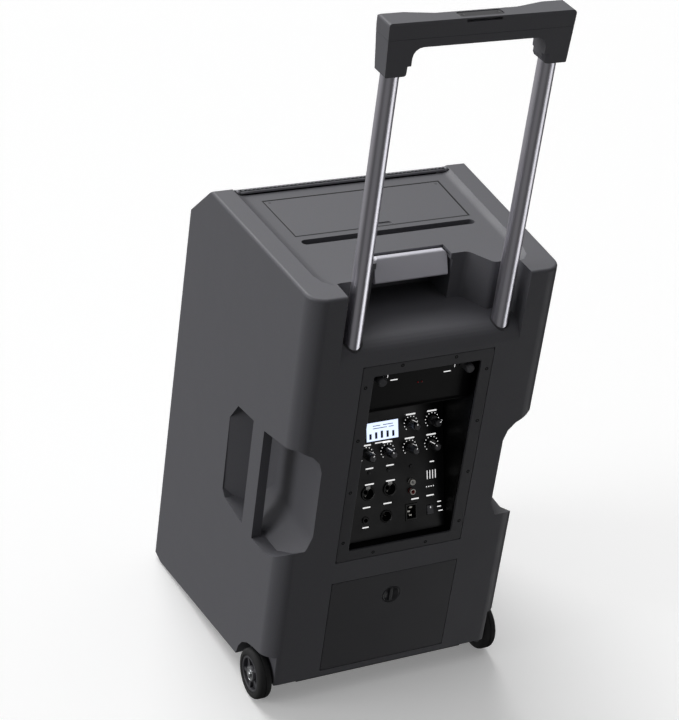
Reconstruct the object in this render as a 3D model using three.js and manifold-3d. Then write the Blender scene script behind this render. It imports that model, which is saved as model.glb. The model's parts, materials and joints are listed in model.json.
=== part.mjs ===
// Wheeled party speaker with a mixer panel, storage lid, battery bay and pull-out trolley handle.
// Millimetres. +Z is up, -Y is the grille side, +Y is the panel side, X runs across the cabinet.
// The origin is on the floor, midway between the front-most and rear-most points.

import * as THREE from 'three';
import { mergeVertices } from 'three/addons/utils/BufferGeometryUtils.js';
import Module from 'manifold-3d';

const wasm = await Module();
wasm.setup();

// ---------------------------------------------------------------- driving dimensions
const GAP = 0.3;                       // air left between neighbouring pieces
const WALL = 4;                        // moulded cabinet wall
const RIB = 3.5;                       // wall left around inner hollows

const REAR_Y = 196;                    // flat rear face
const BAND_Z = 688;                    // top of the side bands
const TOP_Z = 683.2;                   // top surface between the bands
const MID_HALF = 196.5;                // half width at y = 0 and the height below
const MID_HALF_Z = 654;
const SIDE_TAPER = 0.0456;             // half width gained per mm towards the front
const SIDE_DRAFT = 0.0055;             // half width gained per mm downwards
const FRONT_TOP = { y: -175, z: 626 }; // lower end of the sloping front top edge
const FRONT_LOW = { y: -189, z: 8 };
const CHAMFER_TOP_Y = -112;            // upper end of that slope
const REAR_CORNER_R = 26;
const FRONT_CORNER_R = 5;
const REAR_SILL_Z = 39;                // underside at the rear
const SLOPE_START = { y: -164, z: 3 }; // the underside climbs from here
const SLOPE_END_Y = 150;

const BAY_HALF = 168.3;                // front opening between the cheeks
const SILL_Z = 28;
const BAFFLE_FRONT_Y = -152;
const BAFFLE_THICK = 12;
const WOOFER_Z = 216;
const WOOFER_R = 154;
const CONE_R = 128;
const HORN_Z = 496;
const HORN_HALF = { x: 118, z: 74 };

const RECESS_HALF = 137;               // handle recess in the top rear
const RECESS_STEP_Y = 152;
const RECESS_NECK = { x: 104, x2: 82 };
const RECESS_BACK_Y = 116;
const FLOOR_BACK_Z = 612;
const FLOOR_REAR = { y: 168, z: 607.6 };
const FLOOR_ROLL_R = 28;

const TUBE = { x: 111.9, y: 176.7, r: 12, low: 540, high: 1035 };
const SLEEVE = { inner: 12.5, outer: 14.6, low: 132, high: 584 };
const COLLAR = { inner: 12.3, outer: 13.8, low: 585, proud: 0.8 };

const GRIP = { half: 131.3, low: 994.5, seam: 1043, high: 1064.7, under: 1031.5 };
const GRIP_Y = { rear: 195, front: 159.5, waist: 171.5 };
const LEG_INNER = 94;
const BUTTON = { half: 31, y0: 174.5, y1: 188, low: 1056, high: 1064.2 };

const PAD = { half: 55.5, topY: 103, lowY: 118, frontY: 92, low: 648.5 };
const POCKET = { half: 60, front: 66, low: 612, high: 674 };

const LID = { frontY: -79, rearY: 22.4, frontHalf: 137.4, rearHalf: 133, thick: 3 };
const TRAY = { half: 124, y0: -70, y1: 12, depth: 52, wall: 2.4 };
const SLOT = { half: 133, y0: 34.2, y1: 47.4, depth: 26 };

const FRAME = { half: 100, low: 246.7, high: 574, thick: 3.6 };
const WINDOW = { half: 82, low: 264, high: 556.5 };
const BLANK_Y = 179;
const BLANK_LOW = 488;
const PLATE_FOOT = { y: 179, z: 263 };
const PLATE_TILT = THREE.MathUtils.degToRad(19);
const PLATE_LENGTH = 233;
const PLATE_THICK = 2.5;
const CHASSIS_FRONT_Y = 84;

const DOOR = { half: 100.7, low: 49.5, high: 209.2, thick: 3.2 };
const LOCK = { x: 1, z: 168, r: 14 };
const BATTERY_BAY = { half: 92, low: 55, high: 204, front: 98 };

const WHEEL = { y: 160, z: 38, r: 38, x0: 174.9, x1: 197.5, rim: 27.5 };
const ARCH_X = 173.7;

const BAR = { y0: 79, y1: 111, inner: 179 };
const HANDLE_INNER = 142;

// ---------------------------------------------------------------- geometry helpers
function shapeOf(points) {
  return new THREE.Shape(points.map(([a, b]) => new THREE.Vector2(a, b)));
}

function toSolid(geometry) {
  const bare = new THREE.BufferGeometry();
  bare.setAttribute('position', geometry.getAttribute('position'));
  if (geometry.index) bare.setIndex(geometry.index);
  const merged = mergeVertices(bare, 1e-4);
  return new wasm.Manifold(new wasm.Mesh({
    numProp: 3,
    vertProperties: Float32Array.from(merged.getAttribute('position').array),
    triVerts: Uint32Array.from(merged.index.array),
  }));
}

function toGeometry(solid) {
  const mesh = solid.getMesh();
  const geometry = new THREE.BufferGeometry();
  geometry.setAttribute('position', new THREE.BufferAttribute(Float32Array.from(mesh.vertProperties), 3));
  geometry.setIndex(new THREE.BufferAttribute(Uint32Array.from(mesh.triVerts), 1));
  geometry.computeVertexNormals();
  return geometry;
}

function prismGeometry(points, length) {
  return new THREE.ExtrudeGeometry(shapeOf(points), { depth: length, bevelEnabled: false, steps: 1 });
}

// Outline in (x, y), standing between two heights.
function prismZ(points, z0, z1) {
  return toSolid(prismGeometry(points, z1 - z0).translate(0, 0, z0));
}

// Outline in (y, z), running across the cabinet.
function prismX(points, x0, x1) {
  const turn = new THREE.Matrix4().makeBasis(
    new THREE.Vector3(0, 1, 0), new THREE.Vector3(0, 0, 1), new THREE.Vector3(1, 0, 0));
  return toSolid(prismGeometry(points, x1 - x0).applyMatrix4(turn).translate(x0, 0, 0));
}

// Outline in (x, z), running front to rear.
function prismY(points, y0, y1) {
  const turn = new THREE.Matrix4().makeBasis(
    new THREE.Vector3(1, 0, 0), new THREE.Vector3(0, 0, 1), new THREE.Vector3(0, -1, 0));
  return toSolid(prismGeometry(points, y1 - y0).applyMatrix4(turn).translate(0, y1, 0));
}

function block(x0, x1, y0, y1, z0, z1) {
  const geometry = new THREE.BoxGeometry(x1 - x0, y1 - y0, z1 - z0);
  return toSolid(geometry.translate((x0 + x1) / 2, (y0 + y1) / 2, (z0 + z1) / 2));
}

// Profile of [radius, height] pairs, listed either way round, turned about the Z axis.
function turned(profile, segments = 20) {
  const points = profile.map(([r, z]) => new THREE.Vector2(r, z));
  if (THREE.ShapeUtils.area(points) < 0) points.reverse();
  return toSolid(new THREE.LatheGeometry(points, segments).rotateX(Math.PI / 2));
}

function rod(radius, z0, z1, segments = 20) {
  return turned([[0, z0], [radius, z0], [radius, z1], [0, z1]], segments);
}

function ring(inner, outer, z0, z1, segments = 24) {
  return turned([[inner, z0], [outer, z0], [outer, z1], [inner, z1], [inner, z0]], segments);
}

function moved(solid, x, y, z) {
  return solid.translate([x, y, z]);
}

function mirrored(solid) {
  return solid.mirror([1, 0, 0]);
}

function symmetric(points) {
  return points.concat(points.slice().reverse().map(([x, y]) => [-x, y]));
}

// Replaces each corner of a polygon with an arc of its own radius.
function rounded(corners, radii, steps = 5) {
  const out = [];
  corners.forEach((corner, i) => {
    const radius = Array.isArray(radii) ? radii[i] : radii;
    const here = new THREE.Vector2(...corner);
    if (!radius) {
      out.push([here.x, here.y]);
      return;
    }
    const back = new THREE.Vector2(...corners[(i + corners.length - 1) % corners.length]).sub(here).normalize();
    const ahead = new THREE.Vector2(...corners[(i + 1) % corners.length]).sub(here).normalize();
    const half = Math.acos(THREE.MathUtils.clamp(back.dot(ahead), -1, 1)) / 2;
    const reach = radius / Math.tan(half);
    const centre = back.clone().add(ahead).normalize().multiplyScalar(radius / Math.sin(half)).add(here);
    const start = back.clone().multiplyScalar(reach).add(here).sub(centre);
    const end = ahead.clone().multiplyScalar(reach).add(here).sub(centre);
    let sweep = end.angle() - start.angle();
    if (sweep > Math.PI) sweep -= 2 * Math.PI;
    if (sweep < -Math.PI) sweep += 2 * Math.PI;
    for (let k = 0; k <= steps; k += 1) {
      const angle = start.angle() + sweep * k / steps;
      out.push([centre.x + radius * Math.cos(angle), centre.y + radius * Math.sin(angle)]);
    }
  });
  return out;
}

// Closed body through stacked outlines that all have the same number of points.
function loft(outlines, heights) {
  const count = outlines[0].length;
  const positions = outlines.flatMap((outline, k) => outline.flatMap(([x, y]) => [x, y, heights[k]]));
  const index = [];
  for (let k = 0; k + 1 < outlines.length; k += 1) {
    for (let i = 0; i < count; i += 1) {
      const a = k * count + i;
      const b = k * count + (i + 1) % count;
      index.push(a, b, b + count, a, b + count, a + count);
    }
  }
  const contour = outlines[0].map(([x, y]) => new THREE.Vector2(x, y));
  const top = (outlines.length - 1) * count;
  THREE.ShapeUtils.triangulateShape(contour, []).forEach(([a, b, c]) => {
    index.push(a, c, b, top + a, top + b, top + c);
  });
  const geometry = new THREE.BufferGeometry();
  geometry.setAttribute('position', new THREE.Float32BufferAttribute(positions, 3));
  geometry.setIndex(index);
  return toSolid(geometry);
}

const group = new THREE.Group();
group.name = 'party_speaker';

function addNode(name, solid, color, roughness, metalness = 0) {
  const material = new THREE.MeshStandardMaterial({ color, roughness, metalness });
  const mesh = new THREE.Mesh(toGeometry(solid), material);
  mesh.name = name;
  group.add(mesh);
}

const COLOR = {
  shell: 0x47474b, dark: 0x232325, black: 0x141416, pad: 0x85848b, alloy: 0xb4b3bb,
  steel: 0xb8b8ba, rubber: 0x1a1a1b, plate: 0x161619, cone: 0x1c1b1a, glass: 0xcfe0ff,
  white: 0xe6e6e6, red: 0xa02020, board: 0x1c4a30, button: 0x6a6a6e,
};

// ---------------------------------------------------------------- cabinet
function halfWidth(y, z) {
  return MID_HALF - SIDE_TAPER * y + SIDE_DRAFT * (MID_HALF_Z - z);
}

function frontY(z) {
  const run = (FRONT_TOP.z - z) / (FRONT_TOP.z - FRONT_LOW.z);
  return FRONT_TOP.y + (FRONT_LOW.y - FRONT_TOP.y) * run;
}

function cabinetOutline(z, inset) {
  const y0 = frontY(z) + inset;
  const y1 = REAR_Y - inset;
  const front = halfWidth(y0, z) - inset;
  const rear = halfWidth(y1, z) - inset;
  const rearRadius = REAR_CORNER_R - inset;
  const radii = [FRONT_CORNER_R, rearRadius, rearRadius, FRONT_CORNER_R];
  return rounded([[front, y0], [rear, y1], [-rear, y1], [-front, y0]], radii, 7);
}

function underside(lift) {
  return [
    [-260, -30], [-260, 17 + lift], [FRONT_LOW.y - 3, 16 + lift], [FRONT_LOW.y + 3, FRONT_LOW.z + lift],
    [SLOPE_START.y, SLOPE_START.z + lift], [SLOPE_END_Y, REAR_SILL_Z + lift], [260, REAR_SILL_Z + lift], [260, -30],
  ];
}

// Recess that takes the trolley grip: a stepped outline over a floor that rolls down to the rear face.
function recessHollow(grow) {
  const outline = symmetric([
    [RECESS_HALF + grow, 250], [RECESS_HALF + grow, RECESS_STEP_Y - grow],
    [RECESS_NECK.x + grow / 2, RECESS_STEP_Y - grow], [RECESS_NECK.x2 + grow / 2, RECESS_BACK_Y - grow],
  ]);
  const plan = prismZ(rounded(outline, [0, 9, 9, 9, 9, 9, 9, 0], 3), 560, 720);
  const roll = [];
  for (let k = 0; k <= 8; k += 1) {
    const angle = Math.PI / 2 * (1 - k / 8);
    const radius = FLOOR_ROLL_R - grow;
    roll.push([
      FLOOR_REAR.y + radius * Math.cos(angle),
      FLOOR_REAR.z - FLOOR_ROLL_R + radius * Math.sin(angle),
    ]);
  }
  const lowRear = FLOOR_REAR.z - FLOOR_ROLL_R;
  const side = prismX([
    [60, 730], [60, FLOOR_BACK_Z - grow + 4], [RECESS_BACK_Y, FLOOR_BACK_Z - grow], ...roll, [260, lowRear], [260, 730],
  ], -160, 160);
  return plan.intersect(side);
}

function pocketHollow(grow) {
  return block(-POCKET.half - grow, POCKET.half + grow, POCKET.front - grow, RECESS_BACK_Y + 6,
    POCKET.low - grow, POCKET.high + grow);
}

// Side grip: a scoop in front of an upright bar, joined behind it to a hollow that opens at the rear corner.
function handleHollow(grow) {
  const plan = prismZ([
    [HANDLE_INNER - grow, 260], [HANDLE_INNER - grow, 66], [152 - grow, 44], [197, 10 - grow],
    [240, -18 - grow], [240, 260],
  ], 180, 520);
  const side = prismX([
    [10 - grow, 392], [31 - grow, 424 + grow], [77, 430 + grow], [111, 434 + grow], [150, 443 + grow],
    [196, 453 + grow], [260, 466 + grow], [260, 300 - grow], [196, 279 - grow], [176, 264 - grow],
    [150, 252 - grow], [111, 250 - grow], [73, 253 - grow], [21 - grow, 258 - grow], [11 - grow, 268],
  ], 120, 240);
  const corner = prismY([
    [HANDLE_INNER - grow, 303], [HANDLE_INNER - grow, 412], [147, 428 + grow], [158, 440 + grow],
    [184, 454 + grow], [240, 482 + grow], [240, 180], [185, 236 - grow], [163, 262 - grow], [149, 284 - grow],
  ], -60, 260);
  return plan.intersect(side).intersect(corner);
}

function wheelHollow(grow) {
  return prismX([
    [105 - grow, -40], [106 - grow, 34], [111 - grow, 52 + grow], [120, 66 + grow], [135, 77 + grow],
    [152, 83 + grow], [175, 88 + grow], [196, 92 + grow], [260, 98 + grow], [260, -40],
  ], ARCH_X - grow, 260);
}

function bothSides(solid) {
  return solid.add(mirrored(solid));
}

// Shallow trough between the side bands: its slopes steepen towards the crease at the band's edge.
function topValley() {
  const crease = [[170.7, -135], [159.5, 131], [154.5, 150], [144, 162]];
  const levels = [[13.5, 0], [8.6, 0.6], [4, 2.1], [0, BAND_Z - TOP_Z], [-1.2, 16]];
  const outlines = levels.map(([inset]) => symmetric(crease.map(([x, y]) => [x - inset, y - inset * 0.3])));
  return loft(outlines, levels.map(([, rise]) => TOP_Z + rise));
}

const BAY_FRONT = [
  [-300, SILL_Z], [BAFFLE_FRONT_Y + BAFFLE_THICK + 2, SILL_Z], [BAFFLE_FRONT_Y + BAFFLE_THICK + 2, 608],
  [-92, 654], [-92, 672], [-101.5, 677], [-101.5, 760], [-300, 760],
];

function lidOutline(grow) {
  return symmetric([[LID.frontHalf + grow, LID.frontY - grow], [LID.rearHalf + grow, LID.rearY + grow]]);
}

function slotOutline(grow) {
  const r = (SLOT.y1 - SLOT.y0) / 2 + grow - 0.05;
  return rounded([[-SLOT.half - grow, SLOT.y0 - grow], [SLOT.half + grow, SLOT.y0 - grow],
    [SLOT.half + grow, SLOT.y1 + grow], [-SLOT.half - grow, SLOT.y1 + grow]], r, 4);
}

function buildCabinet() {
  const crown = [0, 0.35, 1.3, 2.7, 4.4];
  const crownZ = [BAND_Z - 4.4, BAND_Z - 2.7, BAND_Z - 1.3, BAND_Z - 0.35, BAND_Z];
  const heights = [0, 200, 420, ...crownZ];
  const insets = [0, 0, 0, ...crown];
  let shell = loft(heights.map((z, k) => cabinetOutline(z, insets[k])), heights);
  shell = shell.subtract(prismX([
    [CHAMFER_TOP_Y, BAND_Z + 2.2], [CHAMFER_TOP_Y, 740], [-280, 740], [-280, FRONT_TOP.z - 1.7],
    [FRONT_TOP.y - 1.6, FRONT_TOP.z - 1.7],
  ], -260, 260));
  shell = shell.subtract(prismX(underside(0), -260, 260));
  shell = shell.subtract(topValley());

  const innerHeights = [5, 300, TOP_Z - WALL];
  let cavity = loft(innerHeights.map((z) => cabinetOutline(z, WALL)), innerHeights);
  cavity = cavity.intersect(prismX([
    [BAFFLE_FRONT_Y + BAFFLE_THICK + 1.9, 8], [BAFFLE_FRONT_Y + BAFFLE_THICK + 1.9, 608.04], [-92, 654.04], [-92, 720],
    [300, 720], [300, 8],
  ], -260, 260));
  cavity = cavity.subtract(prismX(underside(WALL), -260, 260));
  const bay = BATTERY_BAY;
  const keepOut = [
    recessHollow(RIB), pocketHollow(RIB), bothSides(handleHollow(RIB)), bothSides(wheelHollow(RIB)),
    prismZ(slotOutline(2.5), TOP_Z - SLOT.depth - 2.5, 700),
    block(-bay.half - 3, bay.half + 3, bay.front - 3, 220, bay.low - 3, bay.high + 3),
  ];
  keepOut.forEach((piece) => { cavity = cavity.subtract(piece); });

  const bars = bothSides(block(BAR.inner, 240, BAR.y0, BAR.y1, 150, 520));
  const handles = bothSides(handleHollow(0)).subtract(bars);
  const cuts = [
    cavity, prismX(BAY_FRONT, -BAY_HALF, BAY_HALF), recessHollow(0), handles, bothSides(wheelHollow(0)),
    prismZ(lidOutline(1.1), TOP_Z - 30, 760),
    prismZ(slotOutline(0), TOP_Z - SLOT.depth, 760),
    block(-FRAME.half - 0.7, FRAME.half + 0.7, REAR_Y - 12, 260, FRAME.low - 0.7, FRAME.high + 0.7),
    block(-DOOR.half - 0.7, DOOR.half + 0.7, REAR_Y - DOOR.thick - 0.5, 260, DOOR.low - 0.7, DOOR.high + 0.7),
    block(-bay.half, bay.half, bay.front, 260, bay.low, bay.high),
  ];
  [-1, 1].forEach((side) => {
    cuts.push(moved(rod(COLLAR.outer + GAP, 560, 640, 28), side * TUBE.x, TUBE.y, 0));
    const boreX = side > 0 ? ARCH_X - 12 : -ARCH_X - 8;
    cuts.push(moved(rod(4.4, 0, 20, 16).rotate([0, 90, 0]), boreX, WHEEL.y, WHEEL.z));
  });
  cuts.forEach((piece) => { shell = shell.subtract(piece); });

  // Pocket behind the carry pad, with the core bar that carries the pad left standing in it.
  const core = block(-POCKET.half - 1, POCKET.half + 1, 98.5, 106, 655, 676);
  const notch = block(-PAD.half - 1.5, PAD.half + 1.5, PAD.frontY - 1.2, RECESS_BACK_Y + 20, 600, 720);
  shell = shell.subtract(pocketHollow(0).add(notch.intersect(block(-90, 90, 60, 150, 640, 720))));
  return shell.add(core);
}

addNode('cabinet_shell', buildCabinet(), COLOR.shell, 0.6);

// ---------------------------------------------------------------- front baffle, grille and drivers
function buildBaffle() {
  const front = BAFFLE_FRONT_Y;
  const rear = BAFFLE_FRONT_Y + BAFFLE_THICK;
  let plate = prismX([[front, 34], [front, 612], [-101, 663], [-93.5, 654.5], [rear, 606], [rear, 34]],
    -BAY_HALF + 0.5, BAY_HALF - 0.5);
  plate = plate.subtract(moved(rod(141, -30, 30, 40).rotate([90, 0, 0]), 0, front, WOOFER_Z));
  return plate.subtract(block(-104.5, 104.5, front - 20, rear + 20, HORN_Z - 62.5, HORN_Z + 62.5));
}

// Bent sheet: full-height face with a gentle bulge, sloping top and a short turned-down lip.
function buildGrille() {
  const profile = [
    [-189.4, 29, 1], [-187, 140, 1], [-184.3, 260, 1], [-181.6, 380, 1], [-178.9, 500, 1],
    [-176.8, 596, 0.9], [-174.6, 624, 0.7], [-168, 634, 0.5], [-140, 661.5, 0.2], [-119, 682, 0.05],
    [-113.5, 686.9, 0], [-107.5, 689.4, 0], [-103.4, 688.6, 0], [-102, 684.5, 0],
  ];
  const columns = 16;
  const half = BAY_HALF - 0.8;
  const thick = 1.8;
  const outer = [];
  const inner = [];
  profile.forEach(([y, z, share], j) => {
    const before = profile[Math.max(0, j - 1)];
    const after = profile[Math.min(profile.length - 1, j + 1)];
    const dir = new THREE.Vector2(after[0] - before[0], after[1] - before[1]).normalize();
    for (let i = 0; i <= columns; i += 1) {
      const x = -half + 2 * half * i / columns;
      const bulge = 8.6 * share * (1 - (x / half) ** 2);
      outer.push([x, y - bulge, z]);
      inner.push([x, y - bulge + thick * dir.y, z - thick * dir.x]);
    }
  });
  const rows = profile.length;
  const across = columns + 1;
  const offset = rows * across;
  const index = [];
  const quad = (a, b, c, d) => index.push(a, b, c, a, c, d);
  for (let j = 0; j + 1 < rows; j += 1) {
    for (let i = 0; i < columns; i += 1) {
      const a = j * across + i;
      quad(a, a + 1, a + 1 + across, a + across);
      quad(offset + a, offset + a + across, offset + a + 1 + across, offset + a + 1);
    }
    const l = j * across;
    const r = l + columns;
    quad(l, l + across, offset + l + across, offset + l);
    quad(r, offset + r, offset + r + across, r + across);
  }
  for (let i = 0; i < columns; i += 1) {
    const t = (rows - 1) * across + i;
    quad(i, offset + i, offset + i + 1, i + 1);
    quad(t, t + 1, offset + t + 1, offset + t);
  }
  const geometry = new THREE.BufferGeometry();
  geometry.setAttribute('position', new THREE.Float32BufferAttribute(outer.concat(inner).flat(), 3));
  geometry.setIndex(index);
  return toSolid(geometry);
}

const driverY = BAFFLE_FRONT_Y - GAP;

// Stands a solid built around local Z on the baffle, facing the grille side.
function facingFront(solid, z) {
  return moved(solid.rotate([90, 0, 0]), 0, driverY, z);
}

function buildBasket() {
  const rim = ring(140, WOOFER_R, 0, 4.5, 32);
  const cage = turned([[140.5, 4.5], [140.5, -14], [86, -72], [86, -79.7], [52, -79.7], [52, -76], [82, -76],
    [82, -70.5], [136, -12.5], [136, -0.4], [140, -0.4], [140, 4.5], [140.5, 4.5]], 32);
  let basket = rim.add(cage);
  for (let k = 0; k < 6; k += 1) {
    const slot = block(88, 120, -22, 22, -90, -26).rotate([0, 0, 60 * k + 30]);
    basket = basket.subtract(slot);
  }
  return basket;
}

addNode('front_baffle', buildBaffle(), COLOR.dark, 0.8);
addNode('front_grille', buildGrille(), COLOR.black, 0.5, 0.3);
addNode('woofer_basket', facingFront(buildBasket(), WOOFER_Z), COLOR.dark, 0.5, 0.6);
addNode('woofer_surround', facingFront(turned([
  [CONE_R, 1], [CONE_R + 3, 5], [CONE_R + 5.5, 6.5], [CONE_R + 8, 5], [CONE_R + 11, 1], [CONE_R + 11, -0.4],
  [CONE_R + 8, 2.6], [CONE_R + 5.5, 4.5], [CONE_R + 3, 3], [CONE_R, -0.6], [CONE_R, 1],
], 32).translate([0, 0, 0.5]), WOOFER_Z), COLOR.rubber, 0.8);
addNode('woofer_cone', facingFront(turned([
  [0, -40], [22, -44], [40, -52], [44, -50], [CONE_R - 0.4, 0], [CONE_R - 0.4, -1.8],
  [46, -53], [40, -55], [20, -47], [0, -43],
], 32), WOOFER_Z), COLOR.cone, 0.9);
addNode('woofer_magnet', facingFront(turned([
  [0, -118], [62, -118], [64, -116], [64, -82], [62, -80], [50, -80], [50, -77], [0, -77],
], 28), WOOFER_Z), COLOR.dark, 0.4, 0.6);

function buildHorn() {
  const steps = 6;
  const outlines = [];
  const heights = [];
  const inner = [];
  for (let k = 0; k <= steps; k += 1) {
    const t = k / steps;
    const x = 16 + (HORN_HALF.x - 34) * t ** 1.6;
    const z = 14 + (HORN_HALF.z - 30) * t ** 1.25;
    const corner = 12 + 6 * t;
    const ringOf = (g) => rounded([[x + g, -z - g], [x + g, z + g], [-x - g, z + g], [-x - g, -z - g]], corner + g, 3);
    outlines.push(ringOf(3));
    inner.push(ringOf(0));
    heights.push(-78 + 79 * t);
  }
  const bore = loft(inner.concat([inner[steps]]), [heights[0] - 2, ...heights.slice(1), 12]);
  const x = HORN_HALF.x;
  const z = HORN_HALF.z;
  const plate = prismZ(rounded([[x, -z], [x, z], [-x, z], [-x, -z]], 10, 3), 0, 4);
  return loft(outlines, heights).add(plate).subtract(bore);
}

addNode('horn_flare', facingFront(buildHorn(), HORN_Z), COLOR.black, 0.5);
addNode('compression_driver', facingFront(turned([
  [0, -126], [36, -126], [38, -124], [38, -90], [34, -84], [20, -84], [20, -80.4], [0, -80.4],
], 24), HORN_Z), COLOR.dark, 0.4, 0.6);

// ---------------------------------------------------------------- storage compartment, carry pad
function buildLid() {
  const lid = prismZ(lidOutline(0), TOP_Z - LID.thick, TOP_Z);
  const dip = prismZ(rounded([[-14, LID.rearY - 9], [14, LID.rearY - 9], [18, LID.rearY + 4], [-18, LID.rearY + 4]],
    [4, 4, 0, 0], 4), TOP_Z - 1.6, TOP_Z + 2);
  return lid.subtract(dip);
}

function buildTray() {
  const top = TOP_Z - LID.thick - GAP;
  const w = TRAY.wall;
  const flange = prismZ(symmetric([[135.5, LID.frontY + 1.2], [131.5, LID.rearY - 1.2]]), top - 2, top);
  const tub = block(-TRAY.half - w, TRAY.half + w, TRAY.y0 - w, TRAY.y1 + w, top - TRAY.depth - w, top - 1);
  return flange.add(tub).subtract(block(-TRAY.half, TRAY.half, TRAY.y0, TRAY.y1, top - TRAY.depth, top + 5));
}

function buildPad() {
  const outline = rounded([[PAD.frontY, TOP_Z - 4], [PAD.frontY, PAD.low + 3], [PAD.lowY - 6, PAD.low],
    [PAD.lowY, PAD.low + 3], [PAD.topY + 2, TOP_Z - 0.4], [PAD.frontY + 6, TOP_Z - 0.4]], [0, 5, 3, 2.5, 3, 0], 3);
  const bar = prismX(outline, -PAD.half, PAD.half);
  const ends = prismY(rounded([[-PAD.half, PAD.low - 5], [PAD.half, PAD.low - 5], [PAD.half, TOP_Z],
    [-PAD.half, TOP_Z]], [3, 3, 8, 8], 4), 60, 150);
  return bar.intersect(ends).subtract(block(-90, 90, 98.5 - GAP, 106 + GAP, 655 - GAP, 676 + GAP));
}

addNode('storage_lid', buildLid(), COLOR.shell, 0.6);
addNode('storage_tray', buildTray(), COLOR.dark, 0.7);
addNode('carry_grip_pad', buildPad(), COLOR.pad, 0.55);

// ---------------------------------------------------------------- mixer panel
function buildFrame() {
  const outer = rounded([[-FRAME.half, FRAME.low], [FRAME.half, FRAME.low], [FRAME.half, FRAME.high],
    [-FRAME.half, FRAME.high]], 4, 3);
  const hole = rounded([[-WINDOW.half, WINDOW.low], [WINDOW.half, WINDOW.low], [WINDOW.half, WINDOW.high],
    [-WINDOW.half, WINDOW.high]], 3, 3);
  return prismY(outer, REAR_Y - FRAME.thick, REAR_Y - 0.1).subtract(prismY(hole, REAR_Y - 10, REAR_Y + 5));
}

function buildChassis() {
  const y1 = REAR_Y - FRAME.thick - GAP;
  const half = WINDOW.half - 0.5;
  const low = WINDOW.low - 1.6;
  const high = WINDOW.high + 1.6;
  const outer = block(-half - 2.5, half + 2.5, CHASSIS_FRONT_Y, y1, low - 2.5, high + 2.5);
  return outer.subtract(block(-half, half, CHASSIS_FRONT_Y + 2.5, y1 + 5, low, high));
}

// Places a solid built around local Z onto the sloping plate: across, along its length, above its face.
function onPlate(solid, across, along, above = 0) {
  const turnedUp = solid.rotate([-90 + THREE.MathUtils.radToDeg(PLATE_TILT), 0, 0]);
  const y = PLATE_FOOT.y - along * Math.sin(PLATE_TILT) + above * Math.cos(PLATE_TILT);
  const z = PLATE_FOOT.z + along * Math.cos(PLATE_TILT) + above * Math.sin(PLATE_TILT);
  return moved(turnedUp, across, y, z);
}

function plateBlock(w, h, low, high) {
  return block(-w / 2, w / 2, -h / 2, h / 2, low, high);
}

const CONTROL = {
  knobs: [[42, 127], [8.3, 127], [-26.8, 127], [-61.5, 127], [-29.5, 161.8], [-63.5, 161.8]],
  channelButtons: [[38.6, 99.6], [8.3, 99.2]],
  pairButton: [-27.5, 98.5],
  combos: [[41.8, 69.5], [7, 70.8]],
  phono: [[-27.6, 76], [-27.5, 61.8]],
  mainsInlet: [-26.8, 30.2],
  lineOut: [13.5, 30.8],
  pedalJack: [46.6, 30.6],
  rocker: [-57.5, 28.6],
  display: [16, 158.6],
};
const SIZE = {
  display: [50, 27], mains: [18.6, 25], rocker: [10.2, 13.4],
  knobR: 6.2, knobH: 21, shaftR: 3, comboR: 10.6, lineR: 9.4, pedalR: 5.4, phonoR: 4.4, buttonR: 2.4,
};

function buildPlate() {
  const out = Math.cos(PLATE_TILT) * PLATE_THICK;
  const up = Math.sin(PLATE_TILT) * PLATE_THICK;
  const endY = PLATE_FOOT.y - PLATE_LENGTH * Math.sin(PLATE_TILT);
  const endZ = PLATE_FOOT.z + PLATE_LENGTH * Math.cos(PLATE_TILT);
  let plate = prismX([[PLATE_FOOT.y, PLATE_FOOT.z + 0.2], [endY, endZ], [endY - out, endZ - up],
    [PLATE_FOOT.y - out, PLATE_FOOT.z + 0.2]], -81, 81);
  const through = (radius) => rod(radius, -12, 12, 16);
  const cut = (tool, [x, s]) => { plate = plate.subtract(onPlate(tool, x, s)); };
  CONTROL.knobs.forEach((at) => cut(through(SIZE.shaftR + 0.4), at));
  CONTROL.channelButtons.concat([CONTROL.pairButton]).forEach((at) => cut(through(SIZE.buttonR + 0.4), at));
  CONTROL.combos.forEach((at) => cut(through(SIZE.comboR - 0.4), at));
  CONTROL.phono.forEach((at) => cut(through(SIZE.phonoR - 0.6), at));
  cut(through(SIZE.lineR + 0.4), CONTROL.lineOut);
  cut(through(SIZE.pedalR - 0.6), CONTROL.pedalJack);
  cut(plateBlock(SIZE.mains[0] + 0.8, SIZE.mains[1] + 0.8, -12, 12), CONTROL.mainsInlet);
  cut(plateBlock(SIZE.rocker[0] + 1.2, SIZE.rocker[1] + 1.6, -12, 12), CONTROL.rocker);
  cut(plateBlock(SIZE.display[0] + 0.8, SIZE.display[1] + 0.8, -12, 12), CONTROL.display);
  return plate;
}

function buildKnob() {
  const knob = turned([[0, -7], [SIZE.shaftR, -7], [SIZE.shaftR, 0.6], [SIZE.knobR + 0.6, 0.6], [SIZE.knobR + 0.6, 3],
    [SIZE.knobR, 4], [SIZE.knobR - 0.5, SIZE.knobH - 1], [SIZE.knobR - 1.3, SIZE.knobH], [0, SIZE.knobH]], 16);
  return knob.subtract(block(-0.6, 0.6, 2, 9, SIZE.knobH - 1.2, SIZE.knobH + 2));
}

function buildCombo() {
  const r = SIZE.comboR;
  return turned([[0, -20], [r - 0.9, -20], [r - 0.9, GAP], [r, GAP], [r, 1.6], [r - 1.4, 2.4], [r - 2.2, 2.4],
    [r - 2.2, -7], [3.3, -7], [3.3, -18], [0, -18]], 20);
}

function buildLineOut() {
  const r = SIZE.lineR;
  let body = turned([[0, -16], [r, -16], [r, 1.2], [r - 1.4, 1.8], [r - 1.9, 1.8], [r - 1.9, -12], [0, -12]], 20);
  [[-3.2, 1.6], [3.2, 1.6], [0, -3.4]].forEach(([x, y]) => {
    body = body.add(moved(rod(1.15, -12.5, -6, 8), x, y, 0));
  });
  return body;
}

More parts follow.
